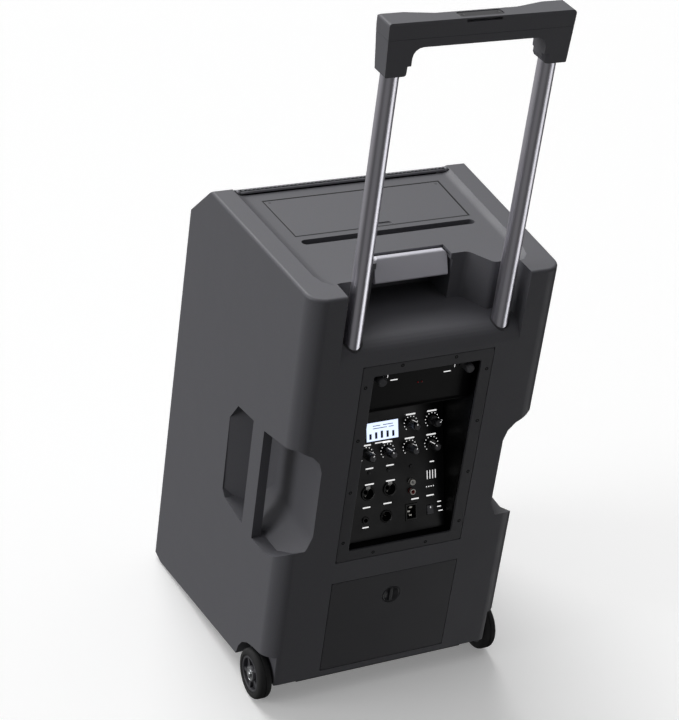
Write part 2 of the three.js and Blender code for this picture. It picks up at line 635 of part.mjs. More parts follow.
function buildMains() {
  const [w, h] = SIZE.mains;
  let body = plateBlock(w, h, -18, 1.2).subtract(plateBlock(w - 5, h - 6, -14.5, 4));
  [[0, 5.6], [2.6, -0.4], [-0.6, -6]].forEach(([x, y]) => {
    body = body.add(block(x - 2, x + 2, y - 1, y + 1, -15, -2.5));
  });
  return body;
}

function buildPhono() {
  const r = SIZE.phonoR;
  return turned([[0, -9], [r - 1, -9], [r - 1, GAP], [r, GAP], [r, 6], [r - 0.7, 6.6], [1.9, 6.6],
    [1.9, -3], [0, -3]], 14);
}

function buildPedalJack() {
  const r = SIZE.pedalR;
  return turned([[0, -14], [r - 1, -14], [r - 1, GAP], [r, GAP], [r, 1.6], [r - 0.8, 2.2], [3.2, 2.2],
    [3.2, -12], [0, -12]], 16);
}

function buildRocker() {
  const [w, h] = SIZE.rocker;
  return prismX([[-h / 2, -4], [h / 2, -4], [h / 2 - 0.2, 2.6], [0, 1.1], [-h / 2 + 0.2, 0.9]], -w / 2, w / 2);
}

addNode('panel_frame', buildFrame(), COLOR.dark, 0.6);
addNode('panel_chassis', buildChassis(), COLOR.black, 0.5);
addNode('upper_blank', prismX([
  [BLANK_Y, WINDOW.high + 1], [BLANK_Y, BLANK_LOW + 3], [BLANK_Y + 2.6, BLANK_LOW + 1.6], [BLANK_Y + 2.6, BLANK_LOW],
  [104.5, BLANK_LOW], [104.5, BLANK_LOW + 2.5], [BLANK_Y - 2.5, BLANK_LOW + 2.5], [BLANK_Y - 2.5, WINDOW.high + 1],
], -81, 81), COLOR.black, 0.25);
addNode('control_plate', buildPlate(), COLOR.plate, 0.35);
addNode('display_window', onPlate(plateBlock(...SIZE.display, -4, 0.5), ...CONTROL.display), COLOR.glass, 0.1);
CONTROL.knobs.forEach((at, k) => addNode(`rotary_knob_${k + 1}`, onPlate(buildKnob(), ...at), COLOR.dark, 0.5));
const button = () => turned([[0, -6], [SIZE.buttonR, -6], [SIZE.buttonR, 1.4], [SIZE.buttonR - 0.5, 2], [0, 2]], 12);
CONTROL.channelButtons.forEach((at, k) => {
  addNode(`channel_button_${k + 1}`, onPlate(button(), ...at), COLOR.black, 0.5);
});
addNode('pairing_button', onPlate(button(), ...CONTROL.pairButton), COLOR.black, 0.5);
CONTROL.combos.forEach((at, k) => {
  addNode(`combo_socket_${k + 1}`, onPlate(buildCombo(), ...at), COLOR.black, 0.4);
});
addNode('phono_socket_white', onPlate(buildPhono(), ...CONTROL.phono[0]), COLOR.white, 0.4);
addNode('phono_socket_red', onPlate(buildPhono(), ...CONTROL.phono[1]), COLOR.red, 0.4);
addNode('line_output', onPlate(buildLineOut(), ...CONTROL.lineOut), COLOR.black, 0.4);
addNode('pedal_jack', onPlate(buildPedalJack(), ...CONTROL.pedalJack), COLOR.black, 0.4);
addNode('mains_inlet', onPlate(buildMains(), ...CONTROL.mainsInlet), COLOR.black, 0.45);
addNode('power_rocker', onPlate(buildRocker(), ...CONTROL.rocker), COLOR.button, 0.4);
const backAngle = THREE.MathUtils.radToDeg(PLATE_TILT);
addNode('circuit_board', moved(block(-74, 74, -1.6, 0, 8, 196).rotate([backAngle, 0, 0]), 0,
  PLATE_FOOT.y - 22.5, PLATE_FOOT.z), COLOR.board, 0.6);
['left', 'right'].forEach((side, k) => {
  const stub = turned([[0, 0], [7.6, 0], [7.6, 2.4], [6.7, 3], [6.7, 15.4], [5.8, 17], [0, 17]], 18);
  addNode(`antenna_${side}`, moved(stub.rotate([-90, 0, 0]), k ? -67 : 67, BLANK_Y + GAP, 544.5), COLOR.dark, 0.6);
});

// ---------------------------------------------------------------- battery bay
function buildDoor() {
  const outline = rounded([[-DOOR.half, DOOR.low], [DOOR.half, DOOR.low], [DOOR.half, DOOR.high],
    [-DOOR.half, DOOR.high]], 3, 3);
  const door = prismY(outline, REAR_Y - DOOR.thick, REAR_Y - 0.1);
  return door.subtract(moved(rod(LOCK.r + 0.4, -20, 20, 32).rotate([90, 0, 0]), LOCK.x, REAR_Y, LOCK.z));
}

function buildLock() {
  const dial = turned([[0, 0.2], [LOCK.r, 0.2], [LOCK.r, 2.9], [LOCK.r - 0.8, 3.6], [0, 3.6]], 32);
  const dish = turned([[0, 1.4], [11, 1.4], [12, 5], [0, 5]], 28);
  const tab = block(-2.4, 2.4, -11.6, 11.6, 1, 3.4);
  return dial.subtract(dish).add(tab);
}

addNode('battery_door', buildDoor(), COLOR.dark, 0.6);
addNode('door_lock', moved(buildLock().rotate([-90, 0, 0]), LOCK.x, REAR_Y - 3.8, LOCK.z), COLOR.black, 0.5);
const packSide = rounded([[106, 60], [184, 60], [184, 192], [106, 192]], 5, 3);
addNode('battery_pack', prismX(packSide, -82, 82), COLOR.dark, 0.6);

// ---------------------------------------------------------------- trolley
function buildGripBody() {
  const h = GRIP.half;
  const low = GRIP.low;
  const face = rounded(symmetric([[h, GRIP.high], [h - 3, low], [LEG_INNER + 4, low], [LEG_INNER, low + 8],
    [LEG_INNER, GRIP.under]]), [4, 2, 3, 3, 14, 14, 3, 3, 2, 4], 4);
  const front = prismY(face, 140, 210);
  const side = prismX([[GRIP_Y.rear, low], [GRIP_Y.rear, GRIP.high - 4], [GRIP_Y.rear - 1.6, GRIP.high],
    [GRIP_Y.front + 3, GRIP.high], [GRIP_Y.front, GRIP.high - 3], [GRIP_Y.front + 7, low]], -150, 150);
  const leg = prismZ(rounded([[h + 1, GRIP_Y.front - 1], [h + 1, GRIP_Y.rear + 1], [LEG_INNER, GRIP_Y.rear + 1],
    [LEG_INNER, GRIP_Y.front - 1]], [6, 0, 13, 13], 4), low - 5, 1100);
  const beam = prismZ(symmetric([[106, GRIP_Y.rear + 1], [106, GRIP_Y.front + 1], [84, GRIP_Y.front + 6],
    [58, GRIP_Y.waist]]), GRIP.under - 24, 1100);
  return front.intersect(side).intersect(bothSides(leg).add(beam));
}

function buildGrip() {
  const body = buildGripBody();
  const upper = body.intersect(block(-200, 200, 100, 260, GRIP.seam + 0.15, 1200));
  let lower = body.intersect(block(-200, 200, 100, 260, 900, GRIP.seam - 0.15));
  [-1, 1].forEach((side) => {
    lower = lower.subtract(moved(rod(TUBE.r + 0.25, 900, TUBE.high + 0.5, 24), side * TUBE.x, TUBE.y, 0));
  });
  const b = BUTTON;
  const pocket = prismZ(rounded([[-b.half - 0.5, b.y0 - 0.5], [b.half + 0.5, b.y0 - 0.5], [b.half + 0.5, b.y1 + 0.5],
    [-b.half - 0.5, b.y1 + 0.5]], 4, 3), b.low - 7, 1100);
  const slot = block(-25, 25, b.y1 - 2, GRIP_Y.rear + 4, b.high - 4.4, b.high - 1.2);
  return { upper: upper.subtract(pocket).subtract(slot), lower };
}

const grip = buildGrip();
[['left', 1], ['right', -1]].forEach(([side, sign]) => {
  const wall = 1.6;
  const tube = turned([[TUBE.r - wall, TUBE.low], [TUBE.r, TUBE.low], [TUBE.r, TUBE.high], [TUBE.r - wall, TUBE.high],
    [TUBE.r - wall, TUBE.low]], 24);
  addNode(`trolley_tube_${side}`, moved(tube, sign * TUBE.x, TUBE.y, 0), COLOR.alloy, 0.3, 0.9);
  const guide = ring(SLEEVE.inner, SLEEVE.outer, SLEEVE.low, SLEEVE.high, 20);
  addNode(`guide_sleeve_${side}`, moved(guide, sign * TUBE.x, TUBE.y, 0), COLOR.black, 0.6);
  const collar = moved(ring(COLLAR.inner, COLLAR.outer, COLLAR.low, 615), sign * TUBE.x, TUBE.y, 0);
  addNode(`tube_collar_${side}`, collar.subtract(recessHollow(-COLLAR.proud)), COLOR.black, 0.6);
});
addNode('grip_lower', grip.lower, COLOR.dark, 0.6);
addNode('grip_upper', grip.upper, COLOR.dark, 0.6);
addNode('release_button', prismZ(rounded([[-BUTTON.half, BUTTON.y0], [BUTTON.half, BUTTON.y0],
  [BUTTON.half, BUTTON.y1], [-BUTTON.half, BUTTON.y1]], 3.5, 3), BUTTON.low, BUTTON.high), COLOR.black, 0.5);

// ---------------------------------------------------------------- wheels and feet
function buildTyre() {
  const w = WHEEL.x1 - WHEEL.x0;
  const r = WHEEL.r;
  return turned([[WHEEL.rim, 0.8], [r - 4, 0.8], [r - 1.2, 2], [r, 5], [r, w - 5], [r - 1.2, w - 2], [r - 4, w - 0.8],
    [WHEEL.rim, w - 0.8], [WHEEL.rim, 0.8]], 32);
}

function buildHub() {
  const w = WHEEL.x1 - WHEEL.x0;
  const r = WHEEL.rim - GAP;
  let hub = turned([[4.4, 0.6], [9, 0.6], [9, 4], [r - 4, 4], [r - 4, 1.4], [r, 1.4], [r, w - 1.4], [r - 3.5, w - 1.4],
    [r - 4.2, w - 6], [13, w - 6], [12, w - 0.6], [4.4, w - 0.6], [4.4, 0.6]], 24);
  for (let k = 0; k < 5; k += 1) {
    hub = hub.subtract(moved(rod(3.6, w - 12, w + 4, 8), 18, 0, 0).rotate([0, 0, 72 * k + 18]));
  }
  return hub;
}

function buildAxle() {
  const w = WHEEL.x1 - WHEEL.x0;
  return turned([[0, -9], [4.1, -9], [4.1, w - 0.3], [6.6, w - 0.3], [6.6, w + 0.8], [5.8, w + 1.4], [0, w + 1.4]], 20);
}

function onAxle(solid, sign) {
  const placed = moved(solid.rotate([0, 90, 0]), WHEEL.x0, WHEEL.y, WHEEL.z);
  return sign > 0 ? placed : mirrored(placed);
}

[['left', 1], ['right', -1]].forEach(([side, sign]) => {
  addNode(`wheel_tyre_${side}`, onAxle(buildTyre(), sign), COLOR.rubber, 0.85);
  addNode(`wheel_hub_${side}`, onAxle(buildHub(), sign), COLOR.dark, 0.5);
  addNode(`wheel_axle_${side}`, onAxle(buildAxle(), sign), COLOR.steel, 0.3, 0.9);
  const slope = (REAR_SILL_Z - SLOPE_START.z) / (SLOPE_END_Y - SLOPE_START.y);
  const under = (y) => SLOPE_START.z + slope * (y - SLOPE_START.y) - GAP;
  const foot = prismX([[-163, 0], [-126, 0], [-126, under(-126)], [-163, under(-163)]], 112, 172);
  addNode(`front_foot_${side}`, sign > 0 ? foot : mirrored(foot), COLOR.rubber, 0.9);
});
addNode('rear_skid', prismX(rounded([[158, 33], [193, 33], [193, REAR_SILL_Z - GAP], [158, REAR_SILL_Z - GAP]],
  [2, 2, 0, 0], 2), -136, 136), COLOR.rubber, 0.8);

export default group;
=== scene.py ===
"""Looks of a wheeled party speaker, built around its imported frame. Metres, +Z up, -Y the grille side."""

import json
import math

import bmesh
import bpy
from bpy.props import FloatProperty, FloatVectorProperty, IntProperty, PointerProperty
from mathutils import Matrix, Vector


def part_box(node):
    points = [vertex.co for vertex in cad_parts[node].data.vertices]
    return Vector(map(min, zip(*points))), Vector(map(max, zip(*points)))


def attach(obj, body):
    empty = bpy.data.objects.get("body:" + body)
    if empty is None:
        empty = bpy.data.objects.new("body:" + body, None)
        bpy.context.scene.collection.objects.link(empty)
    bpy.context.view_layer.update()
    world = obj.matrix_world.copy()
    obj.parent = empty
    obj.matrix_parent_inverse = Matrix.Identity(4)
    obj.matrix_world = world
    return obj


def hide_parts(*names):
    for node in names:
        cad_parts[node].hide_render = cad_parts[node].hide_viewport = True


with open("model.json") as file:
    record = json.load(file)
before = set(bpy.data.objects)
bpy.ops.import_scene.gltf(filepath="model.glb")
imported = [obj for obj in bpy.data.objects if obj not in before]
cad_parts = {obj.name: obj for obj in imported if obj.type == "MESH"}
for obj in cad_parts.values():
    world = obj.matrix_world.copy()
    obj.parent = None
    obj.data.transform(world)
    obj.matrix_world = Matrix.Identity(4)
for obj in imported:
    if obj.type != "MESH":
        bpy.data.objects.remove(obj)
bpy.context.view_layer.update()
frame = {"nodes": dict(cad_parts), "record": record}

RECORD = frame["record"]
BODY_OF = {n: body for body, nodes in RECORD["behaviour"]["bodies"].items() for n in nodes}
SLOT_OF = {part["node"]: part["material_slot"] for part in RECORD["subparts"]}

bl_info = {
    "name": "Party Speaker",
    "version": (1, 0, 0),
    "blender": (4, 5, 0),
    "location": "View3D > Sidebar > Speaker",
    "description": "Builds the looks of a wheeled party speaker around its frame",
    "category": "Object",
}

MM = 0.001
TILT = math.radians(19)                      # lean of the control plate
PLATE_FOOT = Vector((0, 0.179, 0.263))       # lower edge of its face
PLATE_UP = Vector((0, -math.sin(TILT), math.cos(TILT)))
PLATE_OUT = Vector((0, math.cos(TILT), math.sin(TILT)))
DRIVER_FACE_Y = -152.3                       # plane, in mm, that the woofer's rim stands on
LID_REAR_HALF = 133                          # half width, in mm, of the lid's rear edge

# spots on the control plate in mm: across, and up along the plate
KNOB_SPOTS = [(42, 127), (8.3, 127), (-26.8, 127), (-61.5, 127), (-29.5, 161.8), (-63.5, 161.8)]
KNOB_TURNS = [-35, 20, -20, 40, 0, -60]
BUTTON_SPOTS = {
    "channel_button_1": (38.6, 99.6), "channel_button_2": (8.3, 99.2), "pairing_button": (-27.5, 98.5),
}
COMBO_SPOTS = [(41.8, 69.5), (7, 70.8)]
PHONO_SPOTS = {"phono_socket_white": (-27.6, 76), "phono_socket_red": (-27.5, 61.8)}
LINE_SPOT = (13.5, 30.8)
JACK_SPOT = (46.6, 30.6)
INLET_SPOT = (-26.8, 30.2)
ROCKER_MARK_SPOT = (-57.5, 32.2)
DISPLAY_SPOT = (16, 158.6)

CAMERA_PLACE = (1.2481, 2.1680, 1.9990)
CAMERA_TURN = math.radians(150.63)
CAMERA_LIFT = math.radians(31.85)
CAMERA_ROLL = math.radians(7.76)


def linear(hex_text):
    """An sRGB hex colour as linear red, green and blue."""
    def channel(pair):
        value = int(pair, 16) / 255
        return value / 12.92 if value <= 0.04045 else ((value + 0.055) / 1.055) ** 2.4
    digits = hex_text.lstrip("#")
    return tuple(channel(digits[i:i + 2]) for i in (0, 2, 4))


class SpeakerSizes(bpy.types.PropertyGroup):
    edge: FloatProperty(name="Edge softness", description="Width of the rounding on moulded edges",
                        default=0.9 * MM, unit="LENGTH")
    pitch: FloatProperty(name="Hole pitch", description="Distance between holes in the grille",
                         default=6.4 * MM, unit="LENGTH")
    hole: FloatProperty(name="Hole radius", description="Radius of each hole in the grille",
                        default=2.05 * MM, unit="LENGTH")
    screw: FloatProperty(name="Screw head radius", description="Radius of the panel screws",
                         default=2.9 * MM, unit="LENGTH")
    flutes: IntProperty(name="Knob flutes", description="Grip ridges around each knob", default=18, min=6)
    ticks: IntProperty(name="Scale dots", description="Printed dots around each knob", default=11, min=3)


class SpeakerColours(bpy.types.PropertyGroup):
    shell: FloatVectorProperty(name="Shell", description="Moulded cabinet", subtype="COLOR",
                               default=linear("#626267"))
    trim: FloatVectorProperty(name="Trim", description="Frames, doors and grips", subtype="COLOR",
                              default=linear("#48484c"))
    pad: FloatVectorProperty(name="Carry pad", description="Light grey handle pad", subtype="COLOR",
                             default=linear("#dcdbe4"))
    alloy: FloatVectorProperty(name="Tube alloy", description="Anodised trolley tubes", subtype="COLOR",
                               default=linear("#d6d4dc"))
    ink: FloatVectorProperty(name="Print", description="Printed marks", subtype="COLOR",
                             default=linear("#f4f4f4"))


def sizes():
    return bpy.context.scene.speaker_sizes


def colours():
    return bpy.context.scene.speaker_colours


# ------------------------------------------------------------------ materials
def add_node(tree, kind, settings=None, links=None, **props):
    """Adds one node: settings go to its input sockets, links come from (node, output), props are its own."""
    node = tree.nodes.new(kind)
    for key, value in props.items():
        setattr(node, key, value)
    for key, value in (settings or {}).items():
        node.inputs[key].default_value = value
    for key, (source, output) in (links or {}).items():
        tree.links.new(source.outputs[output], node.inputs[key])
    return node


MATERIALS = {}


def moulded(name, colour, roughness, grain_mm, relief_mm, mottle=0.05, coat=0.0, metallic=0.0, sheen=0.0,
            streak=(1, 1, 1), ior=1.46, gloss_swing=0.08):
    """A surface with fine grain, slow mottling and a roughness that drifts a little."""
    if name in MATERIALS:
        return MATERIALS[name]
    material = bpy.data.materials.new(name)
    material.use_nodes = True
    tree = material.node_tree
    tree.nodes.clear()
    place = add_node(tree, "ShaderNodeTexCoord")
    centre = add_node(tree, "ShaderNodeMapping", {"Scale": streak}, {"Vector": (place, "Object")})
    grain = add_node(tree, "ShaderNodeTexNoise",
                     {"Scale": 1 / (grain_mm * MM), "Detail": 3.0, "Roughness": 0.6},
                     {"Vector": (centre, "Vector")})
    patch = add_node(tree, "ShaderNodeTexNoise", {"Scale": 1 / (45 * MM), "Detail": 4.0, "Roughness": 0.55},
                     {"Vector": (centre, "Vector")})
    dark = tuple(c * (1 - mottle) for c in colour) + (1,)
    light = tuple(min(1, c * (1 + mottle)) for c in colour) + (1,)
    tint = add_node(tree, "ShaderNodeMix", {6: dark, 7: light}, {0: (patch, "Fac")}, data_type="RGBA")
    fleck = add_node(tree, "ShaderNodeMix", {0: 0.25}, {6: (tint, 2), 7: (grain, "Color")},
                     data_type="RGBA", blend_type="SOFT_LIGHT")
    rough = add_node(tree, "ShaderNodeMapRange", {"From Min": 0.3, "From Max": 0.7,
                     "To Min": max(0.02, roughness - gloss_swing), "To Max": min(1, roughness + gloss_swing)},
                     {"Value": (patch, "Fac")})
    relief = add_node(tree, "ShaderNodeBump", {"Strength": 0.35, "Distance": relief_mm * MM},
                      {"Height": (grain, "Fac")})
    shader = add_node(tree, "ShaderNodeBsdfPrincipled", {"Metallic": metallic, "Coat Weight": coat,
                      "Sheen Weight": sheen}, {"Base Color": (fleck, 2), "Roughness": (rough, 0),
                      "Normal": (relief, "Normal")})
    if metallic < 0.5:
        shader.inputs["IOR"].default_value = ior
    add_node(tree, "ShaderNodeOutputMaterial", None, {"Surface": (shader, "BSDF")})
    MATERIALS[name] = material
    return material


def backlight_and_painted_glow(name, colour, strength):
    """Glow under smooth glass, mottled a little like its colour: the real backlight of a liquid crystal's cool
    white field, and a painted glow where printed ink uses it.
    """
    material = moulded(name, colour, 0.12, 1.5, 0.001, 0.02)
    tree = material.node_tree
    shader = next(n for n in tree.nodes if n.type == "BSDF_PRINCIPLED")
    mottled = next(n for n in tree.nodes if n.type == "MIX")
    tree.links.new(mottled.outputs[2], shader.inputs["Emission Color"])
    shader.inputs["Emission Strength"].default_value = strength
    return material


def finish_for(slot):
    """The finish of each material slot, named for the real material and how its surface was made, and for the
    light painted into it where there is some.
    """
    c = colours()
    recipes = {
        # spark-eroded mould texture: dull, even, with a soft broad highlight
        "cabinet_plastic": lambda: moulded("Spark-textured moulded ABS", c.shell, 0.5, 1.3, 0.06, 0.012,
                                           gloss_swing=0.03),
        # finer texture, darker pigment: a slightly tighter highlight
        "trim_plastic": lambda: moulded("Fine-textured moulded ABS", c.trim, 0.46, 1.0, 0.04, 0.015,
                                        gloss_swing=0.03),
        # satin light grey: reads almost smooth
        "pad_plastic": lambda: moulded("Satin moulded polypropylene", c.pad, 0.42, 1.1, 0.03, 0.03),
        # powder coat: orange-peel relief over steel
        "grille_paint": lambda: moulded("Powder-coated steel sheet", linear("#86868c"), 0.38, 1.4, 0.05, 0.05),
        # deep unpainted storage box: darker than the parts around its mouth
        "tray_plastic": lambda: moulded("Blow-moulded black ABS", linear("#121213"), 0.6, 1.4, 0.05, 0.05),
        # open-cell foam behind the holes: swallows the light
        "grille_foam": lambda: moulded("Open-cell acoustic foam", linear("#0b0b0c"), 0.9, 1.6, 0.2, 0.15),
        # smooth baked enamel: even black with a soft sheen along the slope
        "panel_paint": lambda: moulded("Satin enamelled steel", linear("#161619"), 0.36, 1.6, 0.02, 0.04),
        # fine-blasted mould face, full black pigment: nearly black, without crisp reflections
        "panel_black": lambda: moulded("Satin black moulded ABS", linear("#070708"), 0.42, 1.2, 0.005, 0.04,
                                       ior=1.25),
        # thick enamel over sand casting: slightly lumpy, low shine
        "driver_paint": lambda: moulded("Stove-enamelled cast alloy", linear("#2a2a2b"), 0.45, 2.0, 0.08, 0.06),
        # drawn and anodised: lengthwise die lines, silky reflection
        "tube_alloy": lambda: moulded("Drawn anodised aluminium", c.alloy, 0.36, 0.7, 0.006, 0.03,
                                      metallic=1.0, streak=(1, 1, 0.02), gloss_swing=0.05),
        # lathe-turned and plated: bright, with a cold sheen
        "axle_steel": lambda: moulded("Turned zinc-plated steel", linear("#b7b9bb"), 0.25, 0.6, 0.01, 0.05,
                                      metallic=1.0),
        # plated contact parts: warm, bright points inside the sockets
        "contact_metal": lambda: moulded("Nickel-plated brass", linear("#e6e4dc"), 0.3, 0.8, 0.004, 0.04,
                                         metallic=0.7),
        # press-moulded tyre: dusty and dull
        "tread_rubber": lambda: moulded("Press-moulded rubber", linear("#262627"), 0.75, 1.2, 0.08, 0.12),
        # matt, dense black: real rubber on the woofer surround, and painted shade as the dark band in the gap
        # round the lid
        "soft_rubber": lambda: moulded("Soft moulded rubber", linear("#1a1a1b"), 0.7, 1.0, 0.05, 0.1),
        # fibrous pulp: rough, with a faint bloom at glancing angles
        "cone_paper": lambda: moulded("Pressed paper pulp", linear("#222121"), 0.85, 1.3, 0.12, 0.12,
                                      sheen=0.1),
        # hard, polished insulator: black with small sharp highlights
        "socket_plastic": lambda: moulded("Polished moulded nylon", linear("#1a1a1b"), 0.28, 1.2, 0.01, 0.05),
        # fine satin: soft lights along the flutes
        "knob_plastic": lambda: moulded("Satin moulded ABS", linear("#39393c"), 0.36, 0.9, 0.02, 0.05),
        # lighter grey insert: stands out against the black plate
        "rocker_plastic": lambda: moulded("Satin moulded nylon", linear("#6f6f73"), 0.4, 0.9, 0.02, 0.03),
        # lit from behind: the brightest, coolest area of the panel
        "screen_glass": lambda: backlight_and_painted_glow("Backlit display glass", linear("#cfdcf7"), 1.3),
        # coloured insulators: clean, slightly shiny spots
        "white_plastic": lambda: moulded("White moulded nylon", linear("#f4f4f2"), 0.3, 1.0, 0.01, 0.03),
        "red_plastic": lambda: moulded("Red moulded nylon", linear("#a3201f"), 0.3, 1.0, 0.01, 0.04),
        # solder mask over woven glass
        "board_laminate": lambda: moulded("Solder-masked glass laminate", linear("#1d5334"), 0.35, 0.8, 0.02,
                                          0.1),
        # thin screen print: slightly uneven density, made to glow as painted light though the ink is no lamp
        "label_ink": lambda: backlight_and_painted_glow("Bright screen-printed ink", c.ink, 0.85),
        # the dark parts of the lit picture: blue-black and flat
        "dark_ink": lambda: moulded("Dark screen-printed ink", linear("#3a4760"), 0.5, 0.7, 0.004, 0.05),
    }
    return recipes[slot]()


# ------------------------------------------------------------------ mesh helpers
def mesh_object(name, mesh):
    obj = bpy.data.objects.new(name, mesh)
    bpy.context.scene.collection.objects.link(obj)
    return obj


def raw_object(name, vertices, faces):
    mesh = bpy.data.meshes.new(name)
    mesh.from_pydata([tuple(v) for v in vertices], [], faces)
    mesh.validate()
    return mesh_object(name, mesh)


def settle(obj):
    """Applies the object's modifiers, leaving a plain mesh."""
    bpy.context.view_layer.update()
    baked = bpy.data.meshes.new_from_object(obj.evaluated_get(bpy.context.evaluated_depsgraph_get()))
    obj.modifiers.clear()
    old = obj.data
    obj.data = baked
    bpy.data.meshes.remove(old)
    return obj


def soften(obj, width=None, angle=35, segments=2):
    """Rounds the sharp edges a little and keeps the broad faces flat in shading."""
    obj.data.shade_smooth()
    bevel = obj.modifiers.new("edge", "BEVEL")
    bevel.width = sizes().edge if width is None else width
    bevel.segments = segments
    bevel.limit_method = "ANGLE"
    bevel.angle_limit = math.radians(angle)
    bevel.use_clamp_overlap = True
    weigh = obj.modifiers.new("weigh", "WEIGHTED_NORMAL")
    weigh.keep_sharp = True
    return settle(obj)


def finish(obj, body, slot, *nodes, material=None):
    """Gives a finished piece the material of its slot, or the one given, puts it on its body and hides the
    nodes it stands for.
    """
    obj.data.materials.clear()
    obj.data.materials.append(material or finish_for(slot))
    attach(obj, body)
    if nodes:
        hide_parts(*nodes)
    return obj


def moulded_copy(node, width=None, angle=35, slot=None, name=None):
    """A merged copy of a frame node with its edges eased, standing for that node."""
    source = frame["nodes"][node].data
    build = bmesh.new()
    build.from_mesh(source)
    bmesh.ops.remove_doubles(build, verts=build.verts, dist=2e-6)
    bmesh.ops.dissolve_limit(build, angle_limit=math.radians(0.5), verts=build.verts, edges=build.edges)
    mesh = bpy.data.meshes.new(name or f"{node}_skin")
    build.to_mesh(mesh)
    build.free()
    obj = mesh_object(mesh.name, mesh)
    soften(obj, width, angle)
    return finish(obj, BODY_OF[node], slot or SLOT_OF[node], node)


def turned(name, profile, steps=48, flutes=0, depth=0.0):
    """A shape turned about Z from (radius, height) pairs in mm, its ridges cut by a cosine."""
    vertices, faces, rings = [], [], []
    for radius, height in profile:
        if radius < 1e-6:
            rings.append([len(vertices)])
            vertices.append((0, 0, height * MM))
            continue
        start = len(vertices)
        for k in range(steps):
            turn = 2 * math.pi * k / steps
            r = radius * (1 - depth * (0.5 + 0.5 * math.cos(flutes * turn)) if flutes else 1)
            vertices.append((r * MM * math.cos(turn), r * MM * math.sin(turn), height * MM))
        rings.append(list(range(start, start + steps)))
    closed = len(rings[0]) > 1 and len(rings[-1]) > 1
    for low, high in zip(rings, rings[1:] + (rings[:1] if closed else [])):
        for k in range(steps):
            n = (k + 1) % steps
            if len(low) == 1:
                faces.append((low[0], high[n], high[k]))
            elif len(high) == 1:
                faces.append((low[k], low[n], high[0]))
            else:
                faces.append((low[k], low[n], high[n], high[k]))
    obj = raw_object(name, vertices, faces)
    build = bmesh.new()
    build.from_mesh(obj.data)
    bmesh.ops.recalc_face_normals(build, faces=build.faces)
    build.to_mesh(obj.data)
    build.free()
    obj.data.shade_smooth()
    obj.data.set_sharp_from_angle(angle=math.radians(38))
    return obj


def slab(name, width, height, thick, corner=0.0, steps=4):
    """A plate with rounded corners in X and Y, its back at z = 0. Sizes in mm."""
    w, h = width / 2, height / 2
    r = min(corner, w, h)
    outline = []
    for cx, cy, start in ((w - r, h - r, 0), (-w + r, h - r, 90), (-w + r, -h + r, 180), (w - r, -h + r, 270)):
        for k in range(steps + 1 if r else 1):
            turn = math.radians(start + 90 * k / steps)
            outline.append(((cx + r * math.cos(turn)) * MM, (cy + r * math.sin(turn)) * MM))
    n = len(outline)
    vertices = [(x, y, z) for z in (0, thick * MM) for x, y in outline]
    faces = [tuple(reversed(range(n))), tuple(range(n, 2 * n))]
    faces += [(k, (k + 1) % n, n + (k + 1) % n, n + k) for k in range(n)]
    return raw_object(name, vertices, faces)


def place(obj, matrix):
    """Moves the mesh itself, so that the object stays at the origin."""
    obj.data.transform(matrix)
    obj.data.update()
    return obj


def shift(x, y, z):
    """A move given in millimetres."""
    return Matrix.Translation(Vector((x, y, z)) * MM)


def joined(name, parts):
    """Several meshes as one."""
    build = bmesh.new()
    for part in parts:
        build.from_mesh(part.data)
        mesh = part.data
        bpy.data.objects.remove(part)
        bpy.data.meshes.remove(mesh)
    mesh = bpy.data.meshes.new(name)
    build.to_mesh(mesh)
    build.free()
    mesh.set_sharp_from_angle(angle=math.radians(38))
    return mesh_object(name, mesh)


def plate_matrix(across, along, above=0.0, turn=0.0):
    """Stands local Z on the control plate's normal, local Y up the plate."""
    spot = PLATE_FOOT + Vector((across * MM, 0, 0)) + PLATE_UP * (along * MM) + PLATE_OUT * (above * MM)
    basis = Matrix((Vector((-1, 0, 0)), PLATE_UP, PLATE_OUT)).transposed().to_4x4()
    return Matrix.Translation(spot) @ basis @ Matrix.Rotation(math.radians(turn), 4, "Z")


def rear_matrix(x, y, z, turn=0.0):
    """Stands local Z on the rear face's normal, local Y up."""
    basis = Matrix((Vector((-1, 0, 0)), Vector((0, 0, 1)), Vector((0, 1, 0)))).transposed().to_4x4()
    return shift(x, y, z) @ basis @ Matrix.Rotation(math.radians(turn), 4, "Z")


# ------------------------------------------------------------------ geometry nodes
def socket_in(tree, name, kind):
    return tree.interface.new_socket(name=name, in_out="INPUT", socket_type=kind)


def repeat_tree():
    """A node tree that sets a template on every point, turned by the point's own angles."""
    if "Repeat on points" in bpy.data.node_groups:
        return bpy.data.node_groups["Repeat on points"]
    tree = bpy.data.node_groups.new("Repeat on points", "GeometryNodeTree")
    socket_in(tree, "Geometry", "NodeSocketGeometry")
    socket_in(tree, "Template", "NodeSocketObject")
    socket_in(tree, "Size", "NodeSocketFloat")
    socket_in(tree, "Finish", "NodeSocketMaterial")
    tree.interface.new_socket(name="Geometry", in_out="OUTPUT", socket_type="NodeSocketGeometry")
    source = add_node(tree, "NodeGroupInput")
    template = add_node(tree, "GeometryNodeObjectInfo", None, {"Object": (source, "Template")})
    turn = add_node(tree, "GeometryNodeInputNamedAttribute", {"Name": "turn"}, data_type="FLOAT_VECTOR")
    spin = add_node(tree, "FunctionNodeEulerToRotation", None, {"Euler": (turn, "Attribute")})
    copies = add_node(tree, "GeometryNodeInstanceOnPoints", None, {
        "Points": (source, "Geometry"), "Instance": (template, "Geometry"),
        "Rotation": (spin, "Rotation"), "Scale": (source, "Size")})
    real = add_node(tree, "GeometryNodeRealizeInstances", None, {"Geometry": (copies, "Instances")})
    coated = add_node(tree, "GeometryNodeSetMaterial", None, {
        "Geometry": (real, "Geometry"), "Material": (source, "Finish")})
    add_node(tree, "NodeGroupOutput", None, {"Geometry": (coated, "Geometry")})
    return tree


